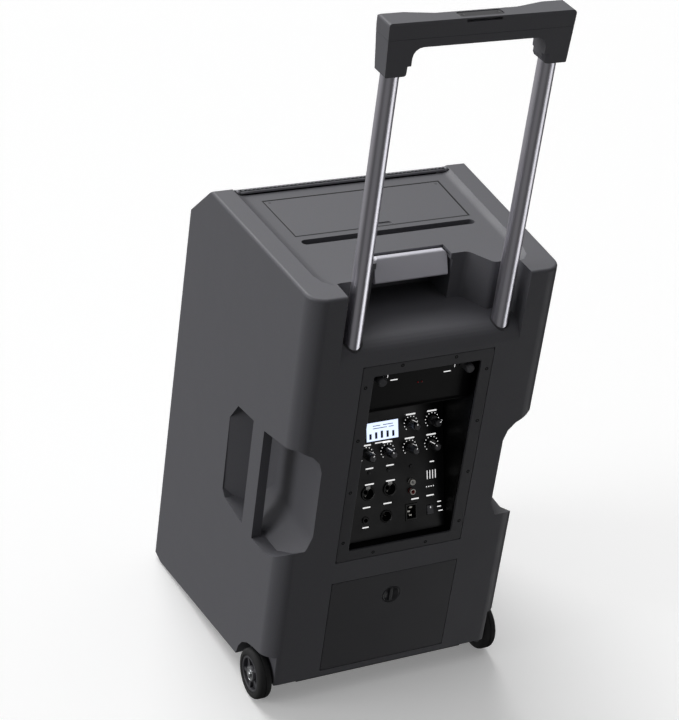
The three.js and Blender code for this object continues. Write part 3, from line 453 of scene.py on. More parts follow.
def run_tree(obj, tree, values):
    """Runs a node tree on obj with values set by socket name, and keeps the plain result."""
    modifier = obj.modifiers.new("rule", "NODES")
    modifier.node_group = tree
    for item in tree.interface.items_tree:
        if item.in_out == "INPUT" and item.name in values:
            modifier[item.identifier] = values[item.name]
    return settle(obj)


def repeated(name, template, matrices, finish_material, size=1.0):
    """One mesh made of the template at every matrix, by the repeat tree."""
    mesh = bpy.data.meshes.new(name)
    mesh.from_pydata([tuple(m.translation) for m in matrices], [], [])
    turns = mesh.attributes.new("turn", "FLOAT_VECTOR", "POINT")
    for k, matrix in enumerate(matrices):
        turns.data[k].vector = matrix.to_euler()
    obj = mesh_object(name, mesh)
    run_tree(obj, repeat_tree(), {"Template": template, "Size": size, "Finish": finish_material})
    shape = template.data
    bpy.data.objects.remove(template)
    bpy.data.meshes.remove(shape)
    return obj


# ------------------------------------------------------------------ grille
GRILLE_BULGE = 8.6 * MM                      # how far the middle of the face stands out
GRILLE_FLAT_FROM = 0.56                      # metres up the sheet where the bulge begins to fade
GRILLE_FADE = 0.10                           # metres over which it fades


def grille_tree():
    """A node tree that spreads hexagon cells over a flat sheet, then bends the sheet along a side profile."""
    tree = bpy.data.node_groups.new("Perforated sheet", "GeometryNodeTree")
    for name, kind in (("Geometry", "NodeSocketGeometry"), ("Cell", "NodeSocketObject"),
                       ("Profile", "NodeSocketObject"), ("Half width", "NodeSocketFloat"),
                       ("Bulge", "NodeSocketFloat"), ("Flat from", "NodeSocketFloat"),
                       ("Finish", "NodeSocketMaterial")):
        socket_in(tree, name, kind)
    tree.interface.new_socket(name="Geometry", in_out="OUTPUT", socket_type="NodeSocketGeometry")
    source = add_node(tree, "NodeGroupInput")
    cell = add_node(tree, "GeometryNodeObjectInfo", None, {"Object": (source, "Cell")})
    path = add_node(tree, "GeometryNodeObjectInfo", None, {"Object": (source, "Profile")})
    copies = add_node(tree, "GeometryNodeInstanceOnPoints", None, {
        "Points": (source, "Geometry"), "Instance": (cell, "Geometry")})
    real = add_node(tree, "GeometryNodeRealizeInstances", None, {"Geometry": (copies, "Instances")})
    welded = add_node(tree, "GeometryNodeMergeByDistance", {"Distance": 0.05 * MM},
                      {"Geometry": (real, "Geometry")})
    here = add_node(tree, "GeometryNodeInputPosition")
    parts = add_node(tree, "ShaderNodeSeparateXYZ", None, {"Vector": (here, "Position")})
    curve = add_node(tree, "GeometryNodeSampleCurve", None,
                     {"Curves": (path, "Geometry"), "Length": (parts, "Y")}, mode="LENGTH", data_type="FLOAT")
    spot = add_node(tree, "ShaderNodeSeparateXYZ", None, {"Vector": (curve, "Position")})
    share = add_node(tree, "ShaderNodeMath", None, {0: (parts, "X"), 1: (source, "Half width")},
                     operation="DIVIDE")
    square = add_node(tree, "ShaderNodeMath", None, {0: (share, 0), 1: (share, 0)}, operation="MULTIPLY")
    crown = add_node(tree, "ShaderNodeMath", {0: 1.0}, {1: (square, 0)}, operation="SUBTRACT")
    fade = add_node(tree, "ShaderNodeMapRange",
                    {"From Max": GRILLE_FLAT_FROM + GRILLE_FADE, "To Min": 1.0, "To Max": 0.0},
                    {"Value": (parts, "Y"), "From Min": (source, "Flat from")})
    lift = add_node(tree, "ShaderNodeMath", None, {0: (crown, 0), 1: (source, "Bulge")}, operation="MULTIPLY")
    bulge = add_node(tree, "ShaderNodeMath", None, {0: (lift, 0), 1: (fade, 0)}, operation="MULTIPLY")
    out_y = add_node(tree, "ShaderNodeMath", None, {0: (spot, "Y"), 1: (bulge, 0)}, operation="SUBTRACT")
    side = add_node(tree, "ShaderNodeVectorMath", None, {0: (curve, "Tangent")}, operation="CROSS_PRODUCT")
    side.inputs[1].default_value = (-1, 0, 0)
    sunk = add_node(tree, "ShaderNodeVectorMath", None, {0: (side, "Vector"), "Scale": (parts, "Z")},
                    operation="SCALE")
    bent = add_node(tree, "ShaderNodeCombineXYZ", None, {"X": (parts, "X"), "Y": (out_y, 0), "Z": (spot, "Z")})
    final = add_node(tree, "ShaderNodeVectorMath", None, {0: (bent, "Vector"), 1: (sunk, "Vector")},
                     operation="ADD")
    moved = add_node(tree, "GeometryNodeSetPosition", None, {"Geometry": (welded, "Geometry"),
                                                             "Position": (final, "Vector")})
    whole = add_node(tree, "GeometryNodeRealizeInstances", None, {"Geometry": (moved, "Geometry")})
    coated = add_node(tree, "GeometryNodeSetMaterial", None, {"Geometry": (whole, "Geometry"),
                                                              "Material": (source, "Finish")})
    add_node(tree, "NodeGroupOutput", None, {"Geometry": (coated, "Geometry")})
    return tree


# side view of the sheet in mm as (y, z), from its foot up the face, over the slope and down the rear lip
GRILLE_SIDE = [(-189.2, 29), (-189.1, 33.4), (-187, 140), (-184.3, 260), (-181.6, 380), (-178.9, 500),
               (-176.8, 596),
               (-174.6, 624), (-168, 634), (-140, 661.5), (-119, 682), (-113.5, 686.9), (-107.5, 689.2),
               (-103.4, 688.4), (-102.4, 684.8)]


def hexagon_cell(pitch, hole):
    """One hexagon of sheet with a round hole and a short wall inside it."""
    vertices, faces = [], []
    outer = pitch / math.sqrt(3)
    for radius, depth in ((outer, 0), (hole, 0), (hole, -0.0009)):
        for k in range(6):
            turn = math.radians(60 * k + 30)
            vertices.append((radius * math.cos(turn), radius * math.sin(turn), depth))
    for level in range(2):
        for k in range(6):
            n = (k + 1) % 6
            faces.append((level * 6 + k, level * 6 + n, level * 6 + 6 + n, level * 6 + 6 + k))
    return raw_object("grille_cell", vertices, faces)


def strip_along_sheet(name, x0, x1, columns, side, half, bulge):
    """Plain border band of the sheet, bent the same way as the perforated field."""
    low, high = side
    vertices, faces = [], []
    rows = len(GRILLE_SIDE)
    lengths = [0.0]
    for (ay, az), (by, bz) in zip(GRILLE_SIDE, GRILLE_SIDE[1:]):
        lengths.append(lengths[-1] + math.hypot(by - ay, bz - az) * MM)
    picks = [k for k in range(rows) if low - 1e-6 <= lengths[k] <= high + 1e-6]
    for k in picks:
        y, z = GRILLE_SIDE[k]
        fade = 1 - min(1, max(0, (lengths[k] - GRILLE_FLAT_FROM) / GRILLE_FADE))
        for i in range(columns + 1):
            x = x0 + (x1 - x0) * i / columns
            vertices.append((x, y * MM - bulge * fade * (1 - (x / half) ** 2), z * MM))
    for j in range(len(picks) - 1):
        for i in range(columns):
            a = j * (columns + 1) + i
            faces.append((a, a + 1, a + columns + 2, a + columns + 1))
    return raw_object(name, vertices, faces)


class SPEAKER_OT_grille(bpy.types.Operator):
    """Perforated steel grille over the whole front, bent back over the top edge"""
    bl_idname = "speaker.grille"
    bl_label = "Grille"

    def execute(self, context):
        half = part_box("front_grille")[1][0] - 0.2 * MM
        pitch = sizes().pitch
        length = 0.0
        for (ay, az), (by, bz) in zip(GRILLE_SIDE, GRILLE_SIDE[1:]):
            length += math.hypot(by - ay, bz - az) * MM
        border = 3.2 * MM
        row = pitch * math.sqrt(3) / 2
        points = []
        rows = int((length - 2 * border - pitch * 0.5) / row)
        for j in range(rows):
            shift = pitch / 2 if j % 2 else 0.0
            count = int((half - border) / pitch) + 1
            for i in range(-count, count + 1):
                x = i * pitch + shift
                if abs(x) < half - border - pitch * 0.4:
                    points.append((x, border + pitch * 0.5 + j * row, 0))
        mesh = bpy.data.meshes.new("grille_perforated_sheet")
        mesh.from_pydata(points, [], [])
        sheet = mesh_object("grille_perforated_sheet", mesh)
        curve = bpy.data.curves.new("grille_profile", "CURVE")
        curve.dimensions = "3D"
        spline = curve.splines.new("POLY")
        spline.points.add(len(GRILLE_SIDE) - 1)
        for point, (y, z) in zip(spline.points, GRILLE_SIDE):
            point.co = (0, y * MM, z * MM, 1)
        path = mesh_object("grille_profile", curve)
        cell = hexagon_cell(pitch, sizes().hole)
        run_tree(sheet, grille_tree(), {
            "Cell": cell, "Profile": path, "Half width": half, "Bulge": GRILLE_BULGE,
            "Flat from": GRILLE_FLAT_FROM,
            "Finish": finish_for("grille_paint")})
        for helper in (cell, path):
            bpy.data.objects.remove(helper)
        sheet.data.shade_smooth()
        sheet.data.set_sharp_from_angle(angle=math.radians(40))
        finish(sheet, BODY_OF["front_grille"], "grille_paint", "front_grille")
        bands = []
        wide = border + pitch * 0.35
        for side in (1, -1):
            edge = side * half
            inner = side * (half - wide)
            bands.append(strip_along_sheet("band", min(edge, inner), max(edge, inner), 1, (0, length), half,
                                           GRILLE_BULGE))
        for ends in ((0, 4.5 * MM), (length - 4 * MM, length)):
            bands.append(strip_along_sheet("band", wide - half, half - wide, 24, ends, half, GRILLE_BULGE))
        frame_band = joined("grille_borders", bands)
        solid = frame_band.modifiers.new("sheet", "SOLIDIFY")
        solid.thickness = 1.2 * MM
        solid.offset = -1
        settle(frame_band)
        finish(frame_band, BODY_OF["front_grille"], "grille_paint")
        foam = strip_along_sheet("grille_foam_backing", 2 * MM - half, half - 2 * MM, 24, (0, length), half,
                                 GRILLE_BULGE)
        sink = foam.modifiers.new("sink", "DISPLACE")
        sink.strength = -1.4 * MM
        sink.mid_level = 0
        thick = foam.modifiers.new("sheet", "SOLIDIFY")
        thick.thickness = 0.6 * MM
        thick.offset = -1
        finish(settle(foam), BODY_OF["front_grille"], "grille_foam")
        return {"FINISHED"}


# ------------------------------------------------------------------ cabinet and top
class SPEAKER_OT_cabinet(bpy.types.Operator):
    """Moulded cabinet shell with its recesses, eased along every edge"""
    bl_idname = "speaker.cabinet"
    bl_label = "Cabinet shell"

    def execute(self, context):
        moulded_copy("cabinet_shell", 1.3 * MM, 28)
        return {"FINISHED"}


class SPEAKER_OT_top(bpy.types.Operator):
    """Storage lid with its pivots and tray, the light grey carry pad, and a dark band of painted shade in the
    gap round the lid
    """
    bl_idname = "speaker.top"
    bl_label = "Lid, tray and carry pad"

    def execute(self, context):
        moulded_copy("storage_lid", 0.7 * MM)
        tray = moulded_copy("storage_tray", 0.5 * MM)
        tray.data.materials[0] = finish_for("tray_plastic")
        moulded_copy("carry_grip_pad", 2.2 * MM, 25)
        low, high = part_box("storage_lid")
        front, rear, level = low[1] * 1000, high[1] * 1000, high[2] * 1000
        # painted shade: a thin black band in the soft rubber finish, 0.25 to 2.1 mm out from the lid's edge,
        # standing in for the shadow in the gap round the lid
        rims = []
        for grow in (0.25, 2.1):
            wide, narrow = high[0] * 1000 + grow, LID_REAR_HALF + grow
            rims.append([(wide, front - grow), (narrow, rear + grow),
                         (-narrow, rear + grow), (-wide, front - grow)])
        points = [Vector((x, y, level + lift)) * MM for lift in (-1.5, 0.12) for rim in rims for x, y in rim]
        faces = []
        for k in range(4):
            n = (k + 1) % 4
            faces += [(8 + k, 8 + n, 12 + n, 12 + k), (k, 4 + k, 4 + n, n), (4 + k, 12 + k, 12 + n, 4 + n),
                      (k, n, 8 + n, 8 + k)]
        gap_shade = raw_object("lid_seal", points, faces)
        finish(gap_shade, BODY_OF["cabinet_shell"], "soft_rubber")
        disc = turned("pivot", [(0, -0.4), (2.4, -0.4), (2.4, 0.0), (1.9, 0.15), (0, 0.15)], 20)
        spots = [Matrix.Translation((side * (high[0] - 6.5 * MM), low[1] + 5.5 * MM, high[2]))
                 for side in (1, -1)]
        pins = repeated("lid_pivot_marks", disc, spots, finish_for("trim_plastic"))
        finish(pins, BODY_OF["storage_lid"], "trim_plastic")
        return {"FINISHED"}


class SPEAKER_OT_drivers(bpy.types.Operator):
    """Baffle, woofer and horn behind the grille"""
    bl_idname = "speaker.drivers"
    bl_label = "Baffle and drivers"

    def execute(self, context):
        for node in ("front_baffle", "woofer_basket", "horn_flare"):
            moulded_copy(node, 0.6 * MM)
        lows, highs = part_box("woofer_cone")
        centre_z = (lows[2] + highs[2]) / 2 * 1000
        face_front = shift(0, DRIVER_FACE_Y, centre_z) @ Matrix.Rotation(math.pi / 2, 4, "X")
        cone = turned("woofer_cone_pressed", [
            (0, -42), (12, -41.2), (24, -42.6), (36, -48), (42, -51.6), (46, -51.8), (60, -43.2), (75, -33.6),
            (92, -22.6), (110, -10.9), (127.6, -0.1), (127.6, -1.7), (110, -12.6), (92, -24.4), (75, -35.6),
            (60, -45.2), (46, -53), (40, -55), (20, -47), (0, -43)], 96)
        finish(place(cone, face_front), BODY_OF["woofer_cone"], "cone_paper", "woofer_cone")
        roll = [(128, 1.5)]
        for k in range(1, 12):
            turn = math.pi * k / 12
            roll.append((133.5 - 5.5 * math.cos(turn), 1.5 + 5.4 * math.sin(turn)))
        roll += [(139, 1.5), (139, 0.1)]
        for k in range(11, 0, -1):
            turn = math.pi * k / 12
            roll.append((133.5 - 5.3 * math.cos(turn), 0.0 + 5.0 * math.sin(turn)))
        roll += [(128, 0.1)]
        surround = turned("woofer_surround_roll", roll, 96)
        finish(place(surround, face_front), BODY_OF["woofer_surround"], "soft_rubber", "woofer_surround")
        for node in ("woofer_magnet", "compression_driver"):
            moulded_copy(node, 0.8 * MM)
        return {"FINISHED"}


# ------------------------------------------------------------------ panel
class SPEAKER_OT_panel_box(bpy.types.Operator):
    """Panel frame, recessed box, black blank plate and their small marks"""
    bl_idname = "speaker.panel_box"
    bl_label = "Panel frame and box"

    def execute(self, context):
        moulded_copy("panel_frame", 0.8 * MM)
        moulded_copy("panel_chassis", 0.5 * MM)
        moulded_copy("upper_blank", 0.5 * MM)
        moulded_copy("control_plate", 0.25 * MM)
        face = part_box("upper_blank")[1][1] * 1000 - 2.55
        parts = []
        for x in (51.5, -51.5):
            parts.append(place(slab("mark", 13, 0.8, 0.12), rear_matrix(x, face, 549)))
            parts.append(place(slab("mark", 0.8, 9, 0.12), rear_matrix(x, face, 544.5)))
        for x in (41, -41):
            parts.append(place(slab("mark", 11, 1.6, 0.12, 0.6), rear_matrix(x, face, 535)))
        print_marks = joined("blank_plate_print", parts)
        finish(print_marks, BODY_OF["upper_blank"], "label_ink")
        led = turned("led", [(0, 0), (1.3, 0), (1.3, 0.4), (0.9, 0.9), (0, 1.1)], 16)
        lights = repeated("indicator_lights", led, [rear_matrix(x, face, 525) for x in (3, -3)],
                          finish_for("red_plastic"))
        finish(lights, BODY_OF["upper_blank"], "red_plastic")
        return {"FINISHED"}


class SPEAKER_OT_knobs(bpy.types.Operator):
    """Six fluted knobs with white pointers, and three small buttons"""
    bl_idname = "speaker.knobs"
    bl_label = "Knobs and buttons"

    def execute(self, context):
        flutes = sizes().flutes
        for k, (x, s) in enumerate(KNOB_SPOTS):
            turn = KNOB_TURNS[k]
            stem = turned("stem",
                          [(0, -7), (3, -7), (3, 0.6), (6.7, 0.6), (6.7, 2.8), (6.4, 3.4), (0, 3.4)], 48)
            cap = turned("cap",
                         [(0, 3.2), (6.6, 3.2), (6.6, 5), (6.3, 19.2), (5.5, 20.6), (4.7, 21), (0, 20.6)],
                         flutes * 6, flutes, 0.07)
            knob = place(joined(f"rotary_knob_{k + 1}_fluted", [stem, cap]), plate_matrix(x, s, 0, turn))
            node = f"rotary_knob_{k + 1}"
            finish(knob, BODY_OF[node], "knob_plastic", node)
            inlay = turned(f"knob_inlay_{k + 1}",
                           [(0, 20.5), (4.6, 20.5), (4.6, 20.95), (4.3, 21.1), (0, 21.1)], 40)
            finish(place(inlay, plate_matrix(x, s, 0, turn)), BODY_OF[node], "knob_plastic",
                   material=finish_for("rocker_plastic"))
            top = place(slab("line", 0.8, 2.6, 0.2, 0.3), shift(0, 3.2, 21.05))
            flank = place(slab("line", 0.9, 15, 0.2, 0.3),
                          shift(0, 6.45, 12) @ Matrix.Rotation(math.radians(-91), 4, "X"))
            pointer = place(joined(f"knob_pointer_{k + 1}", [top, flank]), plate_matrix(x, s, 0, turn))
            finish(pointer, BODY_OF[node], "label_ink")
        for node, (x, s) in BUTTON_SPOTS.items():
            button = turned(f"{node}_cap",
                            [(0, -6), (2.4, -6), (2.4, 1.3), (2.1, 1.8), (1.6, 2), (0, 1.85)], 32)
            finish(place(button, plate_matrix(x, s)), BODY_OF[node], "knob_plastic", node)
        return {"FINISHED"}


class SPEAKER_OT_sockets(bpy.types.Operator):
    """Combo, phono, line and pedal sockets, mains inlet and power rocker"""
    bl_idname = "speaker.sockets"
    bl_label = "Sockets and switch"

    def execute(self, context):
        metal = finish_for("contact_metal")
        for k, (x, s) in enumerate(COMBO_SPOTS):
            node = f"combo_socket_{k + 1}"
            ring = turned(f"{node}_ring", [
                (0, -20), (9.6, -20), (9.6, 0.3), (10.6, 0.3), (10.6, 1.4), (10.1, 2.1), (9.2, 2.4), (8.5, 2.3),
                (8.4, 1.8), (8.4, -7), (4.4, -7), (4.4, -6.4), (3.3, -6.4), (3.3, -18), (0, -18)], 64)
            finish(place(ring, plate_matrix(x, s)), BODY_OF[node], "socket_plastic", node)
            latch = place(slab("latch", 6.6, 3.8, 1.4, 1), shift(0, 9, 1.4))
            finish(place(joined(f"combo_latch_{k + 1}", [latch]), plate_matrix(x, s)), BODY_OF[node],
                   "white_plastic")
            pin = turned("pin_well", [(0, -0.3), (1.2, -0.3), (1.2, 0.1), (0.8, 0.15), (0, 0.15)], 12)
            wells = [plate_matrix(x, s, -6.9) @ shift(5.9 * math.cos(a), 5.9 * math.sin(a), 0)
                     for a in map(math.radians, (150, 30, 270))]
            finish(repeated(f"combo_contacts_{k + 1}", pin, wells, metal), BODY_OF[node], "contact_metal")
        r = 4.4
        for node, (x, s) in PHONO_SPOTS.items():
            slot = SLOT_OF[node]
            core = turned(f"{node}_core", [(0, -9), (3.4, -9), (3.4, 0.3), (r, 0.3), (r, 1.1), (3.2, 1.3),
                                           (3.2, 5.4), (2.9, 5.8), (1.9, 5.8), (1.9, -3), (0, -3)], 40)
            finish(place(core, plate_matrix(x, s)), BODY_OF[node], slot, node)
            sleeve = turned(f"{node}_sleeve", [(3.25, 1.35), (r - 0.1, 1.35), (r - 0.1, 6.2), (r - 0.5, 6.6),
                                               (3.25, 6.6), (3.25, 1.35)], 40)
            finish(place(sleeve, plate_matrix(x, s)), BODY_OF[node], "contact_metal")
        moulded_copy("line_output", 0.3 * MM)
        rod = turned("pin", [(0, 0), (1.2, 0), (1.2, 5.2), (0.7, 6), (0, 6.1)], 14)
        x, s = LINE_SPOT
        pins = [plate_matrix(x, s, -12.1) @ shift(px, py, 0)
                for px, py in ((3.2, -1.6), (-3.2, -1.6), (0, 3.4))]
        finish(repeated("line_output_pins", rod, pins, metal), BODY_OF["line_output"], "contact_metal")
        nut = turned("pedal_jack_body", [(0, -14), (4.4, -14), (4.4, 0.3), (5.4, 0.3), (5.4, 1.2), (4.6, 1.9),
                                         (4.3, 2.2), (3.2, 2.2), (3.2, -12), (0, -12)], 48)
        finish(place(nut, plate_matrix(*JACK_SPOT)), BODY_OF["pedal_jack"], "socket_plastic", "pedal_jack")
        moulded_copy("mains_inlet", 0.5 * MM)
        blade = slab("blade", 4.1, 2.1, 12.2, 0.3)
        x, s = INLET_SPOT
        blades = [plate_matrix(x, s, -14.5) @ shift(px, py, 0)
                  for px, py in ((0, -5.6), (-2.6, 0.4), (0.6, 6))]
        finish(repeated("mains_inlet_blades", blade, blades, metal), BODY_OF["mains_inlet"], "contact_metal")
        rocker = moulded_copy("power_rocker", 0.4 * MM)
        rocker.data.materials[0] = finish_for("rocker_plastic")
        dot = place(slab("rocker_mark", 0.9, 2.6, 0.1, 0.2), plate_matrix(*ROCKER_MARK_SPOT, 2.05))
        finish(joined("power_rocker_mark", [dot]), BODY_OF["power_rocker"], "label_ink")
        return {"FINISHED"}


class SPEAKER_OT_display(bpy.types.Operator):
    """Backlit display with plain level bars and a thin bezel"""
    bl_idname = "speaker.display"
    bl_label = "Display"

    def execute(self, context):
        moulded_copy("display_window", 0.3 * MM)
        x, s = DISPLAY_SPOT
        bars = []
        for k, tall in enumerate((8, 9.5, 10.5, 9.5, 8.5)):
            spot = plate_matrix(x + 19 - 9 * k, s - 10.5 + tall / 2, 0.52)
            bars.append(place(slab("bar", 3.6, tall, 0.1, 0.3), spot))
        for dx, dy, wide in ((4, 4.6, 22), (-14, 4.6, 8), (9, 8.4, 12), (-9, 8.4, 16)):
            bars.append(place(slab("line", wide, 1, 0.1, 0.3), plate_matrix(x + dx, s + dy, 0.52)))
        finish(joined("display_level_bars", bars), BODY_OF["display_window"], "knob_plastic",
               material=finish_for("dark_ink"))
        bezel = []
        for dx, dy, w, h in ((0, 14.1, 52, 1.2), (0, -14.1, 52, 1.2), (25.6, 0, 1.2, 29), (-25.6, 0, 1.2, 29)):
            bezel.append(place(slab("bezel", w, h, 0.7, 0.3), plate_matrix(x + dx, s + dy, 0)))
        finish(joined("display_bezel", bezel), BODY_OF["display_window"], "socket_plastic")
        return {"FINISHED"}


class SPEAKER_OT_print(bpy.types.Operator):
    """Printed scale dots, label bars and plain symbols on the control plate"""
    bl_idname = "speaker.print"
    bl_label = "Panel print"

    def execute(self, context):
        ink = finish_for("label_ink")
        count = sizes().ticks
        dots = []
        for x, s in KNOB_SPOTS:
            for k in range(count):
                turn = math.radians(225 - 270 * k / (count - 1))
                dots.append(plate_matrix(x + 10.6 * math.cos(turn), s + 10.6 * math.sin(turn), 0.02))
        dot = turned("dot", [(0, 0), (0.72, 0), (0.72, 0.08), (0, 0.08)], 10)
        finish(repeated("knob_scale_dots", dot, dots, ink), BODY_OF["control_plate"], "label_ink")
        bars = [(x, s + 13.6, 15, 1.7) for x, s in KNOB_SPOTS]
        bars += [(37.7, 105.9, 12, 1.5), (5.2, 105.6, 12, 1.5), (38.4, 82.6, 14, 1.6), (5, 82.8, 14, 1.6),
                 (-62, 100, 7, 1.4), (-58, 49.8, 12, 1.5), (-72.5, 38, 6, 1.2), (-72.3, 30.6, 6, 1.2),
                 (-74.6, 24, 7, 1.2), (44, 49, 12, 1.5), (10.6, 49.8, 13, 1.5), (-33.6, 48.8, 12, 1.5),
                 (46.5, 19.6, 10, 1.4), (16, 141.6, 24, 1.3)]
        parts = [place(slab("label", w, h * 1.25, 0.08, 0.5), plate_matrix(x, s, 0.02)) for x, s, w, h in bars]
        for k in range(4):
            parts.append(place(slab("fader", 1.2, 13, 0.08, 0.5), plate_matrix(-54 - 4.4 * k, 81, 0.02)))
            parts.append(place(slab("point", 1.8, 1.8, 0.08, 0.9), plate_matrix(-52.6 - 3.7 * k, 63.3, 0.02)))
        finish(joined("panel_labels", parts), BODY_OF["control_plate"], "label_ink")
        return {"FINISHED"}


class SPEAKER_OT_antennas(bpy.types.Operator):
    """Two ribbed antenna stubs at the top of the panel"""
    bl_idname = "speaker.antennas"
    bl_label = "Antenna stubs"

    def execute(self, context):
        for side, x in (("left", 67), ("right", -67)):
            node = f"antenna_{side}"
            low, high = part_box(node)
            profile = [(0, 0), (7.6, 0), (7.6, 1.8), (7.1, 2.4)]
            for k in range(5):
                z = 3.2 + 2.4 * k
                profile += [(6.3, z), (6.7, z + 0.4), (6.7, z + 1.6), (6.3, z + 2.0)]
            profile += [(6.1, 16.2), (5.4, 17), (0, 17)]
            stub = turned(f"{node}_stub", profile, 48)
            centre = (low[2] + high[2]) / 2 * 1000
            finish(place(stub, rear_matrix(x, low[1] * 1000, centre)), BODY_OF[node], "trim_plastic", node)
        return {"FINISHED"}


# ------------------------------------------------------------------ battery door, screws
class SPEAKER_OT_battery_door(bpy.types.Operator):
    """Battery door with its turn lock and the pack behind it"""
    bl_idname = "speaker.battery_door"
    bl_label = "Battery door"

    def execute(self, context):
        moulded_copy("battery_door", 0.8 * MM)
        moulded_copy("battery_pack", 1.2 * MM)
        low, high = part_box("door_lock")
        centre = [(a + b) / 2 * 1000 for a, b in zip(low, high)]
        dial = turned("dial", [(0, 0), (14, 0), (14, 2.6), (13.5, 3.2), (12.8, 3.4), (12, 3.2), (11.4, 1.2),
                               (0, 1.1)], 72)
        tab = soften(place(slab("tab", 23.2, 4.8, 2.1, 1.6), shift(0, 0, 1.15)), 0.5 * MM)
        lock = joined("door_lock_dial", [dial, tab])
        turn = rear_matrix(centre[0], low[1] * 1000, centre[2], 90)
        finish(place(lock, turn), BODY_OF["door_lock"], "knob_plastic", "door_lock")
        return {"FINISHED"}


def screw_template(radius):
    """Countersunk head with a cross recess."""
    vertices, faces = [], []
    steps = 24
    for r, z in ((radius, 0), (radius, 0.25), (radius * 0.86, 0.5)):
        for k in range(steps):
            turn = 2 * math.pi * k / steps
            vertices.append((r * MM * math.cos(turn), r * MM * math.sin(turn), z * MM))
    for level in range(2):
        for k in range(steps):
            n = (k + 1) % steps
            low, high = level * steps, (level + 1) * steps
            faces.append((low + k, low + n, high + n, high + k))
    reach, half = radius * 0.52, radius * 0.13
    cross = [(reach, -half), (reach, half), (half, half), (half, reach), (-half, reach), (-half, half),
             (-reach, half), (-reach, -half), (-half, -half), (-half, -reach), (half, -reach), (half, -half)]
    top = len(vertices)
    vertices += [(x * MM, y * MM, 0.5 * MM) for x, y in cross]
    floor = len(vertices)
    vertices += [(x * 0.75 * MM, y * 0.75 * MM, 0.05 * MM) for x, y in cross]
    rim = 2 * steps
    order = [top + k for k in range(12)]
    for k in range(12):
        n = (k + 1) % 12
        faces.append((order[k], order[n], floor + n, floor + k))
        a = (2 * k - 1) % steps
        faces.append((rim + a, rim + (a + 1) % steps, rim + (a + 2) % steps, order[n], order[k]))
    faces.append(tuple(floor + k for k in range(12)))
    obj = raw_object("screw", vertices, faces)
    obj.data.shade_smooth()
    obj.data.set_sharp_from_angle(angle=math.radians(30))
    return obj


class SPEAKER_OT_screws(bpy.types.Operator):
    """Black cross-head screws around the panel frame"""
    bl_idname = "speaker.screws"
    bl_label = "Panel screws"

    def execute(self, context):
        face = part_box("panel_frame")[1][1] * 1000 - 0.35
        spots = [(side * 92.8, z) for side in (1, -1) for z in (541, 455, 368, 281)]
        spots += [(side * 41, 568.6) for side in (1, -1)] + [(side * 42, 254) for side in (1, -1)]
        turns = [10, 35, 60, 20, 75, 45, 5, 30, 55, 15, 80, 40]
        matrices = [rear_matrix(x, face, z, turn) for (x, z), turn in zip(spots, turns)]
        template = screw_template(sizes().screw / MM)
        screws = repeated("panel_screws", template, matrices, finish_for("panel_black"))
        finish(screws, BODY_OF["panel_frame"], "panel_black")
        return {"FINISHED"}


# ------------------------------------------------------------------ trolley
class SPEAKER_OT_trolley(bpy.types.Operator):
    """Two drawn alloy tubes with their collars"""
    bl_idname = "speaker.trolley"
    bl_label = "Trolley tubes"

    def execute(self, context):
        for side in ("left", "right"):
            node = f"trolley_tube_{side}"
            low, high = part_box(node)
            x = (low[0] + high[0]) / 2 * 1000
            y = (low[1] + high[1]) / 2 * 1000
            z0, z1 = low[2] * 1000, high[2] * 1000
            spot = shift(x, y, 0)
            tube = turned(f"{node}_drawn", [(10.6, z0), (12, z0), (12, z1), (10.6, z1), (10.6, z0)], 72)
            finish(place(tube, spot), BODY_OF[node], "tube_alloy", node)
            collar = f"tube_collar_{side}"
            moulded_copy(collar, 0.4 * MM, 50)
        return {"FINISHED"}


class SPEAKER_OT_grip(bpy.types.Operator):
    """Upper and lower grip shells and the release button between them"""
    bl_idname = "speaker.grip"
    bl_label = "Trolley grip"

    def execute(self, context):
        moulded_copy("grip_lower", 1.8 * MM, 22)
        moulded_copy("grip_upper", 1.6 * MM, 22)
        moulded_copy("release_button", 1.0 * MM)
        low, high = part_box("release_button")
        x = (low[0] + high[0]) / 2 * 1000
        y = (low[1] + high[1]) / 2 * 1000
        z = high[2] * 1000
        dish = turned("dish", [(0, 0.0), (2.0, 0.0), (2.2, 0.12), (2.5, 0.12), (2.5, -0.3), (0, -0.3)], 28)
        spots = [shift(x + dx, y, z) for dx in (25, -25)]
        finish(repeated("release_button_dimples", dish, spots, finish_for("knob_plastic")),
               BODY_OF["release_button"], "knob_plastic")
        return {"FINISHED"}


